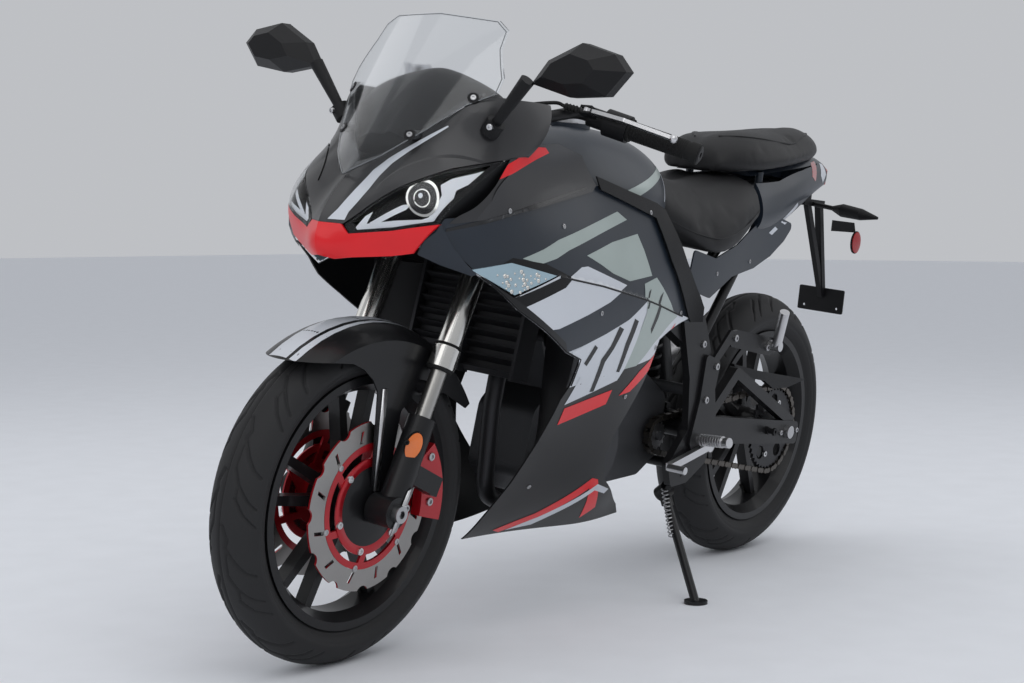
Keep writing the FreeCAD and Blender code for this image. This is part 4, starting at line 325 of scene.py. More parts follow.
def tube(bm, points, radius, sides):
    """Sweeps a circle along points."""
    points = [Vector(p) for p in points]
    befores = points[:1] + points[:-1]
    afters = points[1:] + points[-1:]
    first = square_to(points[1] - points[0])[0]
    rings = []
    for before, point, after in zip(befores, points, afters):
        way = (after - before).normalized()
        first = (first - way * first.dot(way)).normalized()
        rings.append(ring_at(point, first, way.cross(first), radius, sides))
    skin_rings(bm, rings)


def smooth_line(points, steps):
    """A curve through the points."""
    points = [Vector(p) for p in points]
    ends = [points[0] * 2 - points[1]] + points + [points[-1] * 2 - points[-2]]
    line = []
    for a, b, c, d in zip(ends, ends[1:], ends[2:], ends[3:]):
        for step in range(steps):
            t = step / steps
            line.append(((b * 2) + (c - a) * t + (a * 2 - b * 5 + c * 4 - d) * t ** 2
                         + (b * 3 - a - c * 3 + d) * t ** 3) / 2)
    line.append(points[-1])
    return line


def slab(bm, points, depth):
    """A flat outline given a thickness."""
    points = [Vector(p) for p in points]
    depth = Vector(depth)
    skin_rings(bm, [points, [p + depth for p in points]])


def both_sides(bm):
    """Adds the mirror image across the bike's middle plane."""
    copy = bmesh.ops.duplicate(bm, geom=bm.verts[:] + bm.edges[:] + bm.faces[:])
    for item in copy["geom"]:
        if isinstance(item, bmesh.types.BMVert):
            item.co.x = -item.co.x


def bolt(bm, at, direction, radius, height):
    """A bolt's head with a round socket, seated at a place."""
    socket = radius * 0.5
    floor_at = height * 0.35
    profile = ((-1.0, radius), (height * 0.8, radius), (height, radius * 0.85),
               (height, socket), (floor_at, socket), (floor_at, 0))
    lathe(bm, at, direction, profile, BOLT_SIDES)


# Patches of paint laid on the frame's panels


# An edge longer than so many cells spans the space between two panels
LONG_EDGE = 6
TREES = {}


def tree_of(nodes):
    """A search tree over some nodes' surfaces, on the upright bike."""
    key = tuple(nodes)
    if key not in TREES:
        points, faces = [], []
        for node in nodes:
            mesh = frame["nodes"][node].data
            base = len(points)
            points += [UNPARK @ v.co for v in mesh.vertices]
            faces += [[base + i for i in face.vertices] for face in mesh.polygons]
        TREES[key] = BVHTree.FromPolygons(points, faces)
    return TREES[key]


def from_side(a, b, side):
    """A ray onto the bike's flank at a place along and above."""
    return Vector((side * 400, a, b)), Vector((-side, 0, 0))


def from_front(a, b, side):
    """A ray onto the bike's front at a place across and above."""
    return Vector((side * a, -1100, b)), Vector((0, 1, 0))


def from_above(a, b, side):
    """A ray down onto the bike at a place across and along."""
    return Vector((side * a, b, 1400)), Vector((0, 0, -1))


def from_behind(a, b, side):
    """A ray onto the back of the mirrors at a place across and above."""
    return Vector((side * a, -400, b)), Vector((0, -1, 0))


def about_front_axle(a, b, side):
    """A ray onto the front fender at a place across and an angle ahead of the top."""
    angle = math.radians(b)
    out = Vector((0, -math.sin(angle), math.cos(angle)))
    return FRONT_AXLE + out * 500 + Vector((side * a, 0, 0)), -out


def struck(tree, ray):
    """Where a ray meets a surface, the normal there turned to the ray, and how far off."""
    place, normal, _, depth = tree.ray_cast(*ray)
    if place is not None and normal.dot(ray[1]) > 0:
        normal = -normal
    return place, normal, depth


def gridded(outline, cell):
    """A flat sheet of small triangles inside an outline."""
    sheet = bmesh.new()
    sheet.faces.new([sheet.verts.new((a, b, 0)) for a, b in outline])
    for axis in (0, 1):
        values = [p[axis] for p in outline]
        step = cell if max(values) - min(values) > cell else cell / 2
        at = min(values) + step / 2
        normal = Vector((axis == 0, axis == 1, 0))
        while at < max(values):
            geom = sheet.verts[:] + sheet.edges[:] + sheet.faces[:]
            bmesh.ops.bisect_plane(sheet, geom=geom, plane_co=normal * at, plane_no=normal)
            at += step
    bmesh.ops.triangulate(sheet, faces=sheet.faces)
    return sheet


def to_border(tree, vert, ray, depths, lift, reach):
    """Draws a place just beyond the surface in to its border, where a neighbour is on it."""
    near = [edge.other_vert(vert) for edge in vert.link_edges]
    near = [depths[other] for other in near if other in depths]
    if not near:
        return False
    origin, way = ray
    guess = origin + way * near[0]
    place = tree.find_nearest(guess)[0]
    off = place - guess
    if (off - way * off.dot(way)).length > reach:
        return False
    vert.co = place - way * lift
    return True


def patch(bm, nodes, outline, aim, sides, lift, cell):
    """Lays an outline on the nodes' outer faces, just clear of them."""
    tree = tree_of(nodes)
    for side in sides:
        sheet = gridded(outline, cell)
        depths, missed = {}, {}
        for vert in sheet.verts:
            ray = aim(vert.co.x, vert.co.y, side)
            place, normal, depth = struck(tree, ray)
            if place is None:
                missed[vert] = ray
                continue
            vert.co = place + normal * lift
            depths[vert] = depth
        lost = [vert for vert, ray in missed.items()
                if not to_border(tree, vert, ray, depths, lift, cell)]
        bmesh.ops.delete(sheet, geom=lost, context="VERTS")
        long_edges = [e for e in sheet.edges if e.calc_length() > cell * LONG_EDGE]
        bmesh.ops.delete(sheet, geom=long_edges, context="EDGES")
        copied = {vert: bm.verts.new(vert.co) for vert in sheet.verts}
        for face in sheet.faces:
            bm.faces.new([copied[v] for v in face.verts])
        sheet.free()


BEAD_STEPS = 8


def bead(bm, nodes, line, aim, side, radius):
    """A thin cord on the nodes' surface along a line of corners."""
    tree = tree_of(nodes)
    spots = [(a + (c - a) * i / BEAD_STEPS, b + (d - b) * i / BEAD_STEPS)
             for (a, b), (c, d) in zip(line, line[1:]) for i in range(BEAD_STEPS)]
    hits = [tree.ray_cast(*aim(a, b, side))[0] for a, b in spots + [line[-1]]]
    tube(bm, [place for place in hits if place is not None], radius, 6)


def paint(name, finish, nodes, outlines, aim=from_side, sides=(1, -1), body="root", lift=0.5,
          cell=9.0):
    """One piece of paint made of several outlines."""
    bm = bmesh.new()
    for outline in outlines:
        patch(bm, nodes, outline, aim, sides, lift, cell)
    settle(name, bm, finish, body, crease=60)


# Panels and paint


FLANK = ("upper_fairings", "middle_fairings", "side_fairings", "lower_fairings")
PANELS = FLANK + ("nose_cowl", "chin_panel", "side_trims", "side_covers", "front_fender")
# How far a normal turns inward, back or down before a panel's face counts as its inside
INWARD = 0.25
DOWNWARD = 0.3
# The bare tubes' foot above the axle and reach round their axis, and the radius of the
# front discs' painted edge
TUBE_FOOT = 176
TUBE_REACH = 24
DISC_EDGE = 128


def is_inside(node, place, normal):
    """Whether a panel's face looks inward, by its place and normal on the upright bike."""
    if node in ("nose_cowl", "chin_panel", "front_fender"):
        return normal.y > INWARD or node == "front_fender" and normal.z < -DOWNWARD
    return normal.x * place.x < -abs(place.x) * INWARD


def paint_nodes():
    """Each node takes its slot's finish, and panels are black inside."""
    slots = {row["node"]: row["material_slot"] for row in frame["record"]["subparts"]}
    for node, thing in frame["nodes"].items():
        materials = thing.data.materials
        materials.clear()
        materials.append(FINISH[slots[node]][0])
        if node not in PANELS:
            continue
        materials.append(FINISH["black_plastic"][0])
        for face in thing.data.polygons:
            inward = is_inside(node, UNPARK @ face.center, UPRIGHT @ face.normal)
            face.material_index = int(inward)


def two_tone(node, finish, test):
    """Faces of a node that pass a test of place and normal take a second finish."""
    thing = frame["nodes"][node]
    thing.data.materials.append(FINISH[finish][0])
    last = len(thing.data.materials) - 1
    for face in thing.data.polygons:
        if test(UNPARK @ face.center, UPRIGHT @ face.normal):
            face.material_index = last


def on_tube(place, normal):
    """A place on the fork's bare lower tubes, above the black feet."""
    leg = FRONT_AXLE + Y * FORK_BEHIND + X * math.copysign(FORK_HALF, place.x)
    along = (place - leg).dot(FORK_UP)
    return along > TUBE_FOOT and (place - leg - FORK_UP * along).length < TUBE_REACH


def on_disc_edge(place, normal):
    """The outer edges of the front discs."""
    arm = place - FRONT_AXLE
    return abs(normal.x) < 0.5 and math.hypot(arm.y, arm.z) > DISC_EDGE


def on_rim(place, normal):
    """The narrow edge faces of the flank's panels."""
    return abs(normal.x) < 0.3


def everywhere(place, normal):
    """All of a node."""
    return True


def second_finishes():
    """The parts of nodes, or whole nodes, that look different from their slot."""
    for node in FLANK:
        two_tone(node, "black_plastic", on_rim)
    two_tone("front_indicators", "blue_lens", everywhere)
    two_tone("headlight_lenses", "lens_glass", everywhere)
    two_tone("cockpit_panel", "screen_shade", everywhere)
    two_tone("fork_lowers", "satin_tube", on_tube)
    two_tone("front_discs", "red_metal", on_disc_edge)
    two_tone("rear_sprocket", "alloy_dark", everywhere)


FLANK_CELL = 4.5
# Paint on the flank: name, finish, lift and outlines, as places along and above the upright bike
FLANK_PAINT = (
    ("pale_stripe", "pale_paint", 0.5,
     ((-529, 740), (-474, 756), (-430, 772), (-320, 797), (-217, 821), (-184, 806), (-300, 779),
      (-401, 754), (-440, 740), (-482, 731))),
    ("flank_recess", "pale_paint", 0.5,
     ((-345, 744), (-250, 766), (-148, 780), (-128, 751), (-100, 701), (-192, 694), (-255, 710),
      (-300, 728))),
    ("white_panel", "white_paint", 0.5,
     ((-542, 655), (-489, 671), (-436, 690), (-392, 712), (-365, 724), (-344, 725), (-203, 687),
      (-272, 659), (-347, 639), (-436, 618), (-477, 616))),
    ("dark_band", "navy_paint", 0.6,
     ((-477, 616), (-436, 618), (-347, 639), (-272, 659), (-203, 687), (-113, 659), (-194, 623),
      (-276, 600), (-344, 584), (-403, 573))),
    ("white_block", "white_paint", 0.7,
     ((-384, 574), (-344, 584), (-276, 600), (-194, 623), (-121, 657), (-132, 635), (-148, 593),
      (-180, 527), (-196, 506), (-280, 487), (-357, 471), (-346, 496), (-333, 523), (-351, 526),
      (-365, 550))),
    ("block_strokes", "black_paint", 1.1,
     ((-308, 582), (-296, 576), (-322, 543), (-334, 549)),
     ((-229, 612), (-211, 606), (-236, 570), (-258, 546), (-270, 490), (-284, 490), (-274, 552),
      (-250, 576)),
     ((-173, 624), (-157, 618), (-180, 572), (-196, 522), (-208, 524), (-196, 578))),
    ("pale_right", "pale_paint", 0.7,
     ((-132, 687), (-80, 697), (1, 642), (36, 614), (2, 601), (-75, 569), (-136, 530),
      (-180, 527), (-148, 593), (-125, 634))),
    ("right_strokes", "black_paint", 1.1,
     ((-112, 672), (-104, 676), (-118, 640), (-124, 640)),
     ((-60, 660), (-46, 668), (-70, 620), (-96, 590), (-100, 600), (-80, 630))),
    ("red_stripe_front", "red_paint", 0.7,
     ((-352, 464), (-204, 488), (-212, 460), (-352, 431))),
    ("red_stripe_rear", "red_paint", 0.7,
     ((-175, 474), (-118, 517), (-40, 556), (37, 601), (20, 580), (-40, 540), (-90, 506),
      (-138, 479))),
    ("belly_red", "red_paint", 0.7,
     ((-330, 200), (-257, 232), (-170, 305), (-150, 300), (-89, 229), (-110, 205), (-162, 282),
      (-240, 215), (-305, 192))),
    ("belly_white", "white_paint", 0.9,
     ((-292, 195), (-237, 222), (-142, 289), (-88, 271), (-96, 262), (-140, 275), (-232, 202))),
    ("red_slash", "red_paint", 0.6,
     ((-621, 861), (-598, 879), (-561, 898), (-492, 930), (-459, 930), (-443, 921), (-482, 908),
      (-545, 885))),
    ("lamp_surround", "black_plastic", 0.6,
     ((-645, 700), (-608, 716), (-542, 677), (-433, 708), (-397, 707), (-422, 690), (-540, 655),
      (-556, 664)),
     ((-645, 700), (-551, 741), (-470, 731), (-397, 707), (-433, 708), (-535, 730), (-608, 716))),
    ("flank_seam", "lamp_dark", 0.7,
     ((-690, 786), (-602, 807), (-508, 829), (-409, 848), (-320, 864), (-320, 860), (-409, 842),
      (-508, 821), (-602, 799), (-690, 781))),
    ("arch_band", "black_paint", 0.8,
     ((-652, 722), (-604, 697), (-556, 675), (-470, 626), (-410, 592), (-396, 568), (-406, 569),
      (-473, 608), (-553, 650), (-597, 684))),
)
# Seen from the front, as places across and above
NOSE_STRIPE = (
    (11, 783), (18, 801), (24, 835), (31, 868), (47, 890), (71, 913), (94, 935), (115, 953),
    (117, 951), (98, 930), (78, 907), (61, 882), (54, 860), (51, 838), (43, 813), (37, 798),
    (36, 784))
HEADLIGHT_STRIP = (
    (52, 765), (81, 767), (104, 774), (142, 783), (159, 790), (169, 801), (177, 819), (177, 835),
    (173, 851), (180, 862), (186, 877), (190, 892), (175, 880), (159, 870), (153, 858),
    (162, 842), (164, 821), (159, 803), (151, 798), (121, 793), (84, 785), (71, 782), (77, 804),
    (66, 795), (56, 776))
HEADLIGHT_BAR = ((75, 784), (84, 780), (128, 812), (133, 822), (122, 820))
# Other paint seen from the side: name, finish, nodes and outlines
SIDE_PAINT = (
    ("tank_stripe", "pale_paint", ["fuel_tank"],
     ((-203, 840), (-150, 858), (-60, 880), (34, 906), (36, 890), (-50, 864), (-140, 838),
      (-180, 834))),
    ("tank_edge", "white_paint", ["fuel_tank"],
     ((34, 908), (40, 906), (42, 870), (38, 836), (32, 836), (36, 870))),
    ("tail_patch_red", "red_lens", ["tail_cowl"],
     ((752, 899), (775, 930), (812, 934), (790, 905), (778, 888))),
    ("tail_patch_white", "white_paint", ["tail_cowl"],
     ((826, 902), (842, 930), (866, 928), (872, 905), (852, 884))),
    ("tail_bars", "white_paint", ["tail_cowl", "side_covers"],
     ((566, 796), (653, 840), (668, 832), (590, 790)),
     ((512, 772), (540, 786), (556, 780), (530, 767))),
)
# The front fender's stripes, as places across and degrees ahead of the top
FENDER_STRIPES = (
    ("fender_stripe_wide",
     ((-26, 38), (14, 38), (17, 10), (19, -16), (10, -34), (-10, -34), (-18, -16), (-24, 10))),
    ("fender_stripe_slim",
     ((20, 37.5), (34, 37), (33, 10), (29, -16), (22, -40), (20, -40), (24, -16), (25, 10))),
)


def bodywork_paint():
    """Stripes and blocks of colour on flank, nose, fender, tank and tail."""
    for name, finish, lift, *outlines in FLANK_PAINT:
        paint(name, finish, FLANK, outlines, lift=lift, cell=FLANK_CELL)
    paint("nose_stripe", "white_paint", ["nose_cowl"], [NOSE_STRIPE], from_front, (1,), cell=5)
    for name, outline in FENDER_STRIPES:
        paint(name, "white_paint", ["front_fender"], [outline], about_front_axle, (1,),
              "steering", cell=6)
    for name, finish, nodes, *outlines in SIDE_PAINT:
        paint(name, finish, nodes, outlines)


# The proud side panel's upper and front borders, as places along and above the bike
PANEL_BORDERS = (((-436, 709), (-300, 689), (-134, 658), (90, 607)),
                 ((-357, 508), (-348, 557), (-403, 575), (-470, 614), (-549, 656), (-592, 690),
                  (-646, 722)))


def panel_borders():
    """The dark beads along the proud side panels' borders."""
    bm = bmesh.new()
    for side in (1, -1):
        for line in PANEL_BORDERS:
            bead(bm, ["side_fairings"], line, from_side, side, 1.9)
    settle("panel_borders", bm, "black_plastic")


# Lamps


def cheek_panels():
    """The flank's front corners, which run in under the headlights to the chin."""
    bm = bmesh.new()
    outer = [(174, -701, 793), (186, -678, 756), (200, -652, 727), (206, -634, 713)]
    ridge = [(168, -706, 779), (170, -701, 752), (190, -671, 733), (203, -638, 711)]
    low = [(150, -712, 762), (141, -712, 738), (168, -684, 724), (199, -638, 709)]
    rows = [outer, ridge, low]
    back = [[(x - 5, y + 3, z + 1) for x, y, z in row] for row in rows]
    for grid, turn in ((rows, 1), (back, -1)):
        verts = [[bm.verts.new(p) for p in row] for row in grid]
        for a, b in zip(verts, verts[1:]):
            for i in range(3):
                face = (a[i], a[i + 1], b[i + 1], b[i])
                bm.faces.new(face[::turn])
    both_sides(bm)
    settle("cheek_panels", bm, "navy_paint", crease=50)


# The projector lamp as seen from the front: middle, half width and height, and its slant
LAMP_MIDDLE = (142, 834)
LAMP_HALF = (20.5, 31)
LAMP_SLANT = -0.34


def lamp_oval(share, steps, start=0.0, sweep=None):
    """Places on an oval of a share of the projector lamp's size, or on an arc of it."""
    last = sweep or 2 * math.pi * (1 - 1 / steps)
    points = []
    for i in range(steps):
        a = start + last * i / (steps - 1)
        high = LAMP_HALF[1] * share * math.sin(a)
        points.append((LAMP_MIDDLE[0] + LAMP_HALF[0] * share * math.cos(a) + LAMP_SLANT * high,
                       LAMP_MIDDLE[1] + high))
    return points


def lamp_bands(outer, inner, steps, starts):
    """Two halves of an oval ring about the projector lamp."""
    return [lamp_oval(outer, steps, start, math.pi) + lamp_oval(inner, steps, start, math.pi)[::-1]
            for start in starts]


def headlight_parts():
    """The strip and bar behind each headlight lens, and the projector's glass, rings and glint."""
    rings = lamp_bands(1.0, 0.86, 18, (0, math.pi)) + lamp_bands(0.50, 0.44, 14, (0.3, 3.6))
    glint = [(x - 3, z + 4) for x, z in lamp_oval(0.14, 24)]
    for name, finish, outlines, lift, cell in (
            ("headlight_strip", "lamp_white", [HEADLIGHT_STRIP, HEADLIGHT_BAR], -4.6, 6),
            ("projector_glass", "lamp_dark", [lamp_oval(0.86, 32)], -4.4, 5),
            ("projector_rings", "polished_chrome", rings, -4.0, 4),
            ("projector_glints", "lamp_white", [glint], -3.8, 4)):
        paint(name, finish, ["headlight_lenses"], outlines, from_front, lift=lift, cell=cell)


GEM_ROWS = 5
GEM_COLUMNS = 12


def lamp_gems():
    """Small facets inside the front turn lamps, in uneven rows."""
    bm = bmesh.new()
    tree = tree_of(["front_indicators"])
    for row, column in ((i, j) for i in range(GEM_ROWS) for j in range(GEM_COLUMNS)):
        y = -590 + column * 12.5 + row * 7 + 4 * math.sin(column * 2.1 + row)
        z = 716 - row * 9 - abs(column - 4) * 1.6 + 2.5 * math.cos(column * 1.7 + row * 2)
        size = 2.4 + 1.2 * ((row * 3 + column * 5) % 3)
        for side in (1, -1):
            place, normal, _ = struck(tree, from_side(y, z, side))
            if place is not None:
                lathe(bm, place, normal, ((-0.5, size), (0.2, size), (1.6, size * 0.2)), 5,
                      turn=row + column)
    settle("turn_lamp_gems", bm, "polished_chrome", crease=5)


# Wheels


# Each groove's width and its line, as shares of the pattern's length along the tyre and as
# millimetres from the tyre's middle
TREAD = (
    (5.5, ((0.04, 7), (0.16, 16), (0.24, 13), (0.40, 30), (0.50, 44), (0.55, 58))),
    (4.4, ((0.52, 14), (0.66, 26), (0.80, 46), (0.86, 60))),
    (4.0, ((0.78, 24), (0.92, 40), (1.04, 62))),
    (1.8, ((0.24, 13), (0.52, 14))),
    (1.8, ((0.66, 26), (0.78, 24))),
)
TREAD_HALF = 70.7
TREAD_PERIODS = 10
CENTRE_GROOVE = 1.9
GROOVE_DEEP = 4.4
GROOVE_LEAN = 1.2
GROOVE_FADE = 6
# Steps over the tread, down a wall and round the tyre, and the wall's steps with a ring
TREAD_STEPS = 62
WALL_STEPS = 14
ROUND_STEPS = 720
WALL_LINES = (4, 5, 11)
WALL_LINE_DEEP = 0.9
WALL_BULGE = 1.4
# The tyre's radius at the rim's edge and inside, and a place that no groove reaches
RIM_EDGE = 225.2
INSIDE = 218.5
NO_TREAD = 200.0


def groove_depth(along, across, period):
    """How deep the tread's grooves are at places along and across the tyre, from 0 to 1."""
    deep = np.clip(1.35 - np.abs(across) / CENTRE_GROOVE, 0, 1)
    for side in (1, -1):
        v = across * side
        base = np.mod(along + (period / 2 if side < 0 else 0), period)
        for width, points in TREAD:
            for (a, b), (c, d) in zip(points, points[1:]):
                for shift in (-period, 0, period):
                    a0, c0 = a * period + shift, c * period + shift
                    du, dv = c0 - a0, d - b
                    t = ((base - a0) * du + (v - b) * dv) / (du * du + dv * dv)
                    t = np.clip(t, 0, 1)
                    gap = np.hypot(base - a0 - du * t, v - b - dv * t)
                    deep = np.maximum(deep, np.clip(1.4 - gap / (width / 2), 0, 1))
    return deep


def tyre_section(radius, half, crown, rim_half):
    """Places round a tyre's section, as across, radius and way over the tread, and its edge."""
    reach = math.asin(0.97 * half / crown)
    tread = []
    for i in range(TREAD_STEPS + 1):
        a = -reach + 2 * reach * i / TREAD_STEPS
        tread.append((crown * math.sin(a), radius - crown * (1 - math.cos(a)), crown * a))
    edge_x, edge_r, edge = tread[-1]
    foot = rim_half - 6.3
    wall = []
    for i in range(1, WALL_STEPS + 1):
        t = i / WALL_STEPS
        bulge = math.sin(math.pi * t) * (half - edge_x) * WALL_BULGE
        x = edge_x + (foot - edge_x) * t ** 1.5 + bulge
        line = WALL_LINE_DEEP if i in WALL_LINES else 0.0
        wall.append((min(x, half) - line, edge_r + (RIM_EDGE - edge_r) * t, NO_TREAD))
    inner = [(foot - 3, INSIDE, NO_TREAD), (0, INSIDE + 1, NO_TREAD), (3 - foot, INSIDE, NO_TREAD)]
    left = [(-x, r, v) for x, r, v in reversed(wall)]
    return np.array(left + tread + wall + inner), edge


def tyre_piece(node, axle, sizes, body):
    """A tyre with grooves cut in its tread and rings on its walls."""
    section, edge = tyre_section(*sizes)
    radius = sizes[0]
    angles = np.linspace(0, 2 * math.pi, ROUND_STEPS, endpoint=False)
    turn, across = np.meshgrid(angles, section[:, 2], indexing="ij")
    period = 2 * math.pi * radius / TREAD_PERIODS
    deep = groove_depth(turn * radius, across * (TREAD_HALF / edge), period)
    deep = np.where(np.abs(across) > edge + 1, 0, deep)
    deep = deep * np.clip((edge - np.abs(across)) / GROOVE_FADE, 0, 1)
    radii = section[:, 1][None, :] - deep * GROOVE_DEEP
    xs = np.broadcast_to(section[:, 0][None, :], radii.shape)
    xs = xs - np.sign(xs) * np.clip(np.abs(across) / edge, 0, 1) * deep * GROOVE_LEAN
    places = (xs, axle.y + radii * np.cos(turn), axle.z + radii * np.sin(turn))
    matrix = np.array(PARK)
    parked = np.stack(places, axis=-1).reshape(-1, 3) @ matrix[:3, :3].T + matrix[:3, 3]
    count = len(section)
    faces = []
    for i in range(ROUND_STEPS):
        for j in range(count):
            k, m = (i + 1) % ROUND_STEPS, (j + 1) % count
            faces.append((i * count + j, i * count + m, k * count + m, k * count + j))
    name = node + "_treaded"
    mesh = bpy.data.meshes.new(name)
    mesh.from_pydata(parked.tolist(), [], faces)
    thing = place_mesh(name, mesh, "tyre_rubber", body)
    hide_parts(node)


def tyres():
    """Both tyres, by their radius, half width, crown radius and the rim's half width."""
    tyre_piece("front_tyre", FRONT_AXLE, (293, 55, 56, 42), "front_wheel")
    tyre_piece("rear_tyre", REAR_AXLE, (308, 65, 66, 52), "rear_wheel")


def bolts(name, finish, nodes, spots, aim=from_side, body="root", radius=5.0, height=4.0,
          sides=(1, -1)):
    """Bolt heads seated on the nodes' surface at the given places."""
    bm = bmesh.new()
    tree = tree_of(nodes)
    for side in sides:
        for a, b in spots:
            place, normal, _ = struck(tree, aim(a, b, side))
            if place is not None:
                bolt(bm, place, normal, radius, height)
    settle(name, bm, finish, body)


def round_places(middle, radius, count, turn):
    """Places on a circle about a middle."""
    return [(middle[0] + radius * math.cos(a), middle[1] + radius * math.sin(a))
            for a in (turn + 2 * math.pi * i / count for i in range(count))]


VALVE_RADIUS = 208


def wheel_details():
    """Hub covers, carrier rings, rivets, sprocket bolts and valve stems."""
    rings, covers, heads = bmesh.new(), bmesh.new(), bmesh.new()
    for side in (1, -1):
        out = X * side
        face = FRONT_AXLE + out * 62
        lathe(rings, face, out, ((-1, 73), (-1, 86), (2, 86), (3, 84), (3, 75), (2, 73)), 60)
        lathe(covers, face, out, ((-1, 30), (-1, 73), (1.5, 73), (4, 60), (7, 46), (7, 30)), 48)
        for y, z in round_places(FRONT_AXLE.yz, 79.5, 6, 0.3):
            bolt(heads, Vector(((face + out * 3).x, y, z)), out, 6.5, 3.5)
    settle("carrier_rings", rings, "red_metal", "front_wheel")
    settle("hub_covers", covers, "black_wheel", "front_wheel")
    settle("disc_bolts", heads, "alloy", "front_wheel")
    bolts("disc_rivets", "steel", ["front_disc_carriers", "front_discs"],
          round_places(FRONT_AXLE.yz, 110, 6, 0.3), body="front_wheel", radius=5.5, height=1.5)
    bolts("sprocket_bolts", "alloy", ["rear_sprocket"], round_places(REAR_AXLE.yz, 62, 6, 0.2),
          body="rear_wheel", radius=7, height=5, sides=(1,))
    bolts("rear_disc_bolts", "alloy", ["rear_disc"], round_places(REAR_AXLE.yz, 82, 6, 0.2),
          body="rear_wheel", radius=6, height=3, sides=(-1,))
    for end, axle in (("front", FRONT_AXLE), ("rear", REAR_AXLE)):
        bm = bmesh.new()
        foot = axle + Vector((0, 0.36, -0.93)) * VALVE_RADIUS
        lathe(bm, foot, Vector((-0.35, -0.35, 0.9)),
              ((0, 5), (8, 4.2), (10, 3), (26, 3), (26, 3.8), (36, 3.8), (37, 0)), 12)
        settle(end + "_valve", bm, "grip_rubber", end + "_wheel")


# Front end


def leg_point(height, side):
    """A place on a fork leg's axis, by its distance above the axle."""
    return FRONT_AXLE + Y * FORK_BEHIND + X * (FORK_HALF * side) + FORK_UP * height


def fork_details():
    """Seals and caps on the fork legs, fender stays, and the bolts of feet and calipers."""
    seals, stays, caps = bmesh.new(), bmesh.new(), bmesh.new()
    for side in (1, -1):
        lathe(seals, leg_point(256, side), FORK_UP,
              ((0, 16.5), (1, 22.5), (4, 23.5), (9, 23.5), (10, 21)), 32)
        lathe(seals, leg_point(302.2, side), FORK_UP,
              ((-1, 22), (0, 24.5), (2, 24), (4, 21.7)), 32)
        lathe(caps, leg_point(749, side), FORK_UP,
              ((-2, 15), (2, 15), (3, 13.5), (9, 13.5), (9, 9), (4, 8)), 6)
        for x, thick, places in (
                (75.5, -2.5, ((-696, 322), (-684, 322), (-683, 500), (-695, 500))),
                (126, 2, ((-668, 330), (-652, 336), (-690, 262), (-706, 256)))):
            slab(stays, [(side * x, y, z) for y, z in places], (side * thick, 0, 0))
    settle("fork_seals", seals, "grip_rubber", "steering")
    settle("fork_caps", caps, "alloy", "steering")
    settle("fender_stays", stays, "alloy", "steering")
    bolts("fork_bolts", "steel", ["fork_lowers"], [(-701, 361), (-669, 300)],
          body="steering", radius=7, height=5)
    bolts("caliper_bolts", "steel", ["front_calipers"], [(-566, 372), (-560, 290), (-590, 332)],
          body="steering", radius=7.5, height=4)


OVAL_SIDES = 24


def oval(bm, centre, normal, up, half_wide, half_tall, thick, crown=0.5):
    """A thin oval button with a raised, faceted middle."""
    normal = normal.normalized()
    across = up.cross(normal).normalized()
    up = normal.cross(across)
    angles = [2 * math.pi * i / OVAL_SIDES for i in range(OVAL_SIDES)]
    rings = []
    for depth, share in ((0, 1), (thick, 1), (thick * (1 + crown), 0.82)):
        rings.append([centre + normal * depth + (across * (math.cos(a) * half_wide)
                                                 + up * (math.sin(a) * half_tall)) * share
                      for a in angles])
    skin_rings(bm, rings)


def reflectors():
    """The orange ovals on the fork legs and the red one beside the plate."""
    amber, rims, red, holder = (bmesh.new() for _ in range(4))
    for side in (1, -1):
        at = Vector((side * 117, -652, 406))
        way = Vector((side * 0.75, -0.66, 0))
        oval(rims, at - way * 4, way, FORK_UP, 15, 26, 6, crown=0)
        oval(amber, at + way * 2.2, way, FORK_UP, 13.5, 24, 2.4)
        bolt(rims, at + way * 2 + FORK_AHEAD * 22, way, 5, 5)
    at = Vector((70, 1049, 742))
    way = Vector((0.95, -0.3, 0))
    oval(holder, at - way * 3, way, Z, 16, 28, 4, crown=0)
    oval(red, at + way, way, Z, 14, 26, 2.4)
    slab(holder, [(22, 1006, 765), (22, 1006, 792), (62, 1046, 790), (66, 1050, 766)], (-3, 3, 0))
    settle("amber_reflectors", amber, "orange_lens", "steering")
    settle("reflector_rims", rims, "black_plastic", "steering")
    settle("red_reflector", red, "red_lens")
    settle("red_reflector_holder", holder, "black_plastic")


# Bars and controls


BAR_END = Vector((352, -236.3, 945.2))
BAR_IN = Vector((237.2, -267.3, 972.5))
BAR_WAY = (BAR_IN - BAR_END).normalized()


def grip_ribs():
    """Raised ribs round both grips and weights at their ends."""
    ribs, ends = bmesh.new(), bmesh.new()
    for i in range(26):
        lathe(ribs, BAR_END + BAR_WAY * (9 + 4.1 * i), BAR_WAY,
              ((-1.2, 16.8), (-0.8, 17.9), (0.8, 17.9), (1.2, 16.8)), 28)
    lathe(ribs, BAR_IN - BAR_WAY * 4, BAR_WAY, ((-2, 17), (-1, 20), (3, 20), (4, 17)), 28)
    lathe(ends, BAR_END - BAR_WAY, -BAR_WAY,
          ((0, 14), (2, 16.5), (16, 16), (18, 13), (18, 5), (10, 4)), 28)
    for bm in (ribs, ends):
        both_sides(bm)
    settle("grip_ribs", ribs, "grip_rubber", "steering")
    settle("bar_weights", ends, "black_plastic", "steering")


def lever_boots():
    """The bellows at both levers, with the cables that run down under the windscreen."""
    boots = bmesh.new()
    for side in (1, -1):
        at = Vector((158 * side, -322, 1000))
        out = Vector((-side * 0.93, -0.32, 0.16)).normalized()
        lathe(boots, at, out, [(3.2 * i, 7.5 if i % 2 else 5.6) for i in range(9)], 16)
        line = smooth_line([at + out * 24, at + out * 48 + Z, (side * 74, -392, 994),
                            (side * 44, -424, 960), (side * 34, -432, 900)], 6)
        tube(boots, line, 3.4, 8)
    settle("cable_boots", boots, "grip_rubber", "steering")


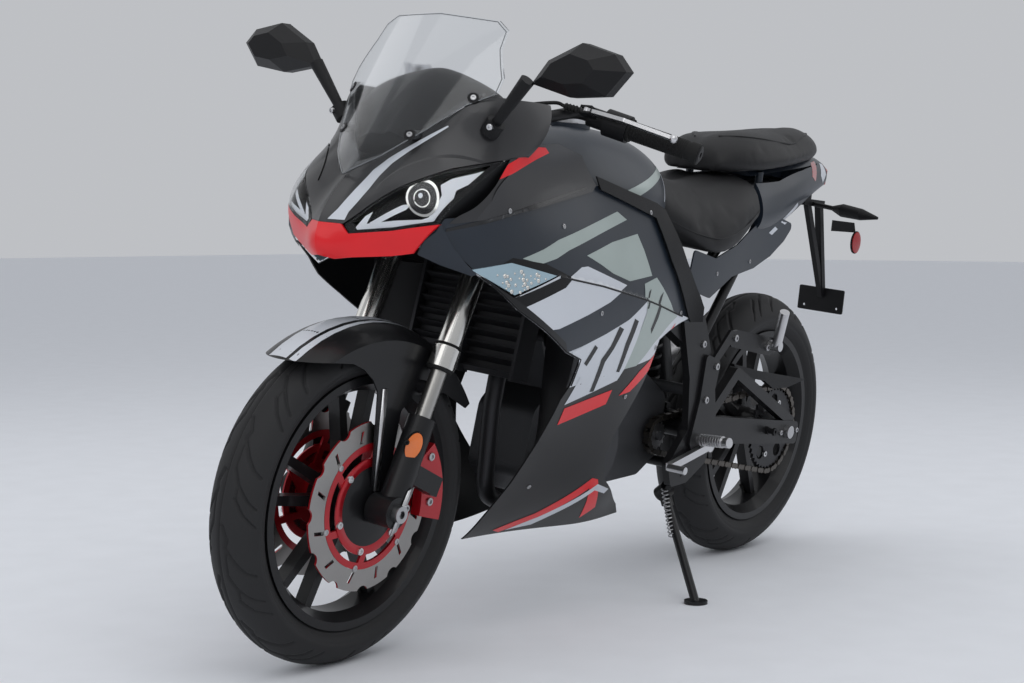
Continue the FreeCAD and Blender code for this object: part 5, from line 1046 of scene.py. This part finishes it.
def fluid_pot():
    """The brake fluid's pot on its arm, and its lid."""
    pot, lid = bmesh.new(), bmesh.new()
    foot = Vector((-198, -358, 1028))
    lathe(pot, foot, Z, ((-8, 9), (0, 10), (4, 23), (24, 25)), 32)
    tube(pot, [(-164, -318, 996), (-184, -340, 1006), foot - Z * 4], 6, 10)
    lathe(lid, foot + Z * 24, Z, ((0, 26.5), (5, 26.5), (7, 24), (7.5, 8), (6.5, 0)), 32)
    settle("fluid_pot", pot, "alloy", "steering")
    settle("fluid_pot_lid", lid, "alloy", "steering")


def switches():
    """The yellow button and the keys of the switch pods, and the upper yoke's bolts."""
    button, keys = bmesh.new(), bmesh.new()
    pod = BAR_IN + BAR_WAY * 24
    face = (FORK_UP * 0.8 + FORK_AHEAD * -0.6).normalized()
    slab(button, [pod + face * 22 + BAR_WAY * a + FORK_AHEAD * b for a, b in
                  ((-9, 4), (9, 4), (9, -6), (-9, -6))], face * 6)
    for shift, size in ((-14, 5), (16, 6), (2, 4)):
        lathe(keys, pod + BAR_WAY * shift - FORK_AHEAD * 23 + FORK_UP * 3, -FORK_AHEAD,
              ((-2, size + 1), (1, size + 1), (3, size), (3.5, 0)), 16)
    both_sides(keys)
    settle("indicator_button", button, "yellow_button", "steering")
    settle("switch_keys", keys, "black_plastic", "steering")
    bolts("yoke_bolts", "steel", ["triple_clamps"], [(22, -394), (48, -410), (74, -411)],
          from_above, "steering", 5, 3)


# Nose, screen and mirrors


# Outlines of the windscreen and a mirror's glass, and the screen's screws, as places across
# and above
SCREEN_EDGE = (
    (0, 858), (49, 894), (94, 943), (128, 987), (162.5, 1012), (162.5, 1039), (140, 1089),
    (135, 1120), (113, 1136), (0, 1143.5))
MIRROR_GLASS = (
    (255, 1037), (280, 1071), (340, 1101), (400, 1087), (420, 1066), (390, 1030), (327.5, 1024))
SCREEN_SCREWS = ((75, 932), (137, 1003))


def nose_details():
    """The screen's edge line, a grey cord of painted highlight, and its screws, the mirrors' bolts
    and their glass.
    """
    edge = bmesh.new()
    # A grey cord along the clear screen's border, a painted edge highlight for the line that light
    # draws there
    for side in (1, -1):
        bead(edge, ["windscreen"], SCREEN_EDGE, from_front, side, 0.9)
    settle("screen_edge", edge, "screen_edge")
    held = ["windscreen", "nose_cowl"]
    bolts("screen_screws", "steel", held, SCREEN_SCREWS, from_front, height=3)
    bolts("screen_washers", "black_plastic", held, SCREEN_SCREWS, from_front, radius=10,
          height=1.2)
    bolts("mirror_bolts", "alloy", ["mirrors"], [(168, 942), (180, 958)], from_front,
          radius=5.5, height=5)
    paint("mirror_glass", "mirror_glass", ["mirrors"], [MIRROR_GLASS], from_behind, lift=0.4,
          cell=20)


def panel_screws():
    """Screws of the side panels, side covers and trims, and the fuel cap's bolts and lock."""
    bolts("panel_screws", "steel", FLANK + ("side_covers", "side_trims"),
          [(-560, 820), (-408, 795), (-300, 640), (-150, 470), (60, 620), (-60, 560),
           (-20, 300), (-330, 300), (430, 710), (250, 690), (-100, 820)], radius=4.5, height=2)
    bolts("cap_bolts", "steel", ["fuel_tank"],
          round_places((0, -130), 42, 6, 0.2 * math.pi), from_above, radius=2.6, height=1.6,
          sides=(1,))
    lock = bmesh.new()
    lathe(lock, Vector((0, -112, 983)), Z, ((-0.5, 15), (1.6, 14), (2, 9), (1.2, 8), (1.2, 3)), 28)
    settle("cap_lock", lock, "steel", "fuel_cap")


# Engine, chain side and stand


def running_gear():
    """Bolts of the engine's cover, frame plates and swingarm, and the ribs of the pegs."""
    bolts("engine_cover_bolts", "steel", ["engine"],
          round_places((-60, 330), 82, 8, 0.2), radius=6, height=4)
    bolts("pivot_bolts", "steel", ["main_frame", "swingarm", "footrest_hangers"],
          [(292, 490), (262, 420), (262, 330), (360, 548), (505, 520), (190, 338), (240, 540)],
          radius=7.5, height=5)
    bolts("axle_adjusters", "steel", ["swingarm"], [(735, 308), (660, 308)], radius=6, height=5)
    ribs = bmesh.new()
    foot = Vector((143, 250, 335))
    way = Vector((1, -0.15, 0.12)).normalized()
    for i in range(9):
        lathe(ribs, foot + way * (16 + 7 * i), way,
              ((-1.8, 10.5), (-1.5, 12.6), (1.5, 12.6), (1.8, 10.5)), 20)
    both_sides(ribs)
    settle("peg_ribs", ribs, "alloy")


def coil(start, end, radius, step, count):
    """Places along a coil spring's wire from start to end."""
    run = end - start
    first, second = square_to(run)
    return [start + run * (i / count)
            + (first * math.cos(i * step) + second * math.sin(i * step)) * radius
            for i in range(count + 1)]


def springs():
    """The side stand's spring and the coil round the rear shock."""
    stand, shock = bmesh.new(), bmesh.new()
    tube(stand, coil(Vector((124, 176, 232)), Vector((168, 152, 142)), 6, 0.6, 130), 1.5, 6)
    settle("stand_spring", stand, "steel", "side_stand")
    eye = Vector((0, 240, 368))
    run = Vector((0, 232, 622)) - eye
    tube(shock, coil(eye + run * 0.16, eye + run * 0.80, 35.5, 0.26, 170), 4.2, 8)
    settle("shock_spring", shock, "frame_black")


# The seats, sewn and filled


CLOTH_FRAMES = 20
CLOTH_PRESSURE = 4


def evaluated(thing):
    """A copy of an object's mesh with its modifiers applied."""
    graph = bpy.context.evaluated_depsgraph_get()
    graph.update()
    return bpy.data.meshes.new_from_object(thing.evaluated_get(graph))


def swell(thing, cap):
    """Swells a cushion by a short cloth simulation, up to a cap, with its underside held."""
    start = [v.co.copy() for v in thing.data.vertices]
    normals = [v.normal.copy() for v in thing.data.vertices]
    cloth = thing.modifiers.new("cloth", "CLOTH")
    cloth.settings.use_pressure = True
    cloth.settings.uniform_pressure_force = CLOTH_PRESSURE
    cloth.settings.effector_weights.gravity = 0
    cloth.point_cache.frame_start = 1
    cloth.point_cache.frame_end = CLOTH_FRAMES
    scene = bpy.context.scene
    for number in range(1, CLOTH_FRAMES + 1):
        scene.frame_set(number)
    swollen = evaluated(thing)
    for vert, was, normal in zip(swollen.vertices, start, normals):
        move = vert.co - was
        if move.length > cap:
            move *= cap / move.length
        free = min(max((normal.z + 0.35) / 0.5, 0), 1)
        vert.co = was + move * free
    thing.modifiers.clear()
    thing.data = swollen
    scene.frame_set(1)


def sewn_seat(node, cap, size):
    """A padded cushion over its base's form, by the cap on its swelling and its cells' size."""
    thing = link(node + "_cover", frame["nodes"][node].data.copy())
    remesh = thing.modifiers.new("remesh", "REMESH")
    remesh.mode = "VOXEL"
    remesh.voxel_size = size
    thing.data = evaluated(thing)
    thing.modifiers.clear()
    swell(thing, cap)
    mesh = thing.data
    for face in mesh.polygons:
        face.use_smooth = True
    mesh.materials.clear()
    mesh.materials.append(FINISH["seat_cover"][0])
    soften = thing.modifiers.new("soften", "CORRECTIVE_SMOOTH")
    soften.iterations = 6
    soften.use_only_smooth = True
    thing.data = evaluated(thing)
    thing.modifiers.clear()
    more = thing.modifiers.new("more", "SUBSURF")
    more.levels = more.render_levels = 1
    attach(thing, "root")
    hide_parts(node)
    return thing


def piping(name, cushion, spots, aim, radius):
    """A sewn cord on each side, half sunk in a cushion, through places seen along an aim."""
    mesh = evaluated(cushion)
    tree = BVHTree.FromPolygons([UNPARK @ v.co for v in mesh.vertices],
                                [list(p.vertices) for p in mesh.polygons])
    bm = bmesh.new()
    for side in (1, -1):
        hits = [struck(tree, aim(a, b, side)) for a, b in spots]
        points = [place + normal * radius * 0.2 for place, normal, _ in hits if place is not None]
        if len(points) > 2:
            tube(bm, smooth_line(points, 4), radius, 8)
    settle(name, bm, "seat_cover")


def seats():
    """Both seats with their seams."""
    rider = sewn_seat("rider_seat", 0.010, 0.006)
    rear = sewn_seat("pillion_seat", 0.008, 0.005)
    piping("rider_seam", rider, [(80, 800), (150, 775), (240, 766), (340, 790), (425, 822)],
           from_side, 1.4)
    seam = [(30, 400), (62, 440), (84, 500), (92, 570), (86, 640), (70, 710), (46, 770),
            (24, 800)]
    piping("pillion_piping", rear, seam, from_above, 2.0)


camera()
floor()
studio()
paint_nodes()
second_finishes()
bodywork_paint()
panel_borders()
cheek_panels()
headlight_parts()
lamp_gems()
tyres()
wheel_details()
fork_details()
reflectors()
grip_ribs()
lever_boots()
fluid_pot()
switches()
nose_details()
panel_screws()
running_gear()
springs()
seats()
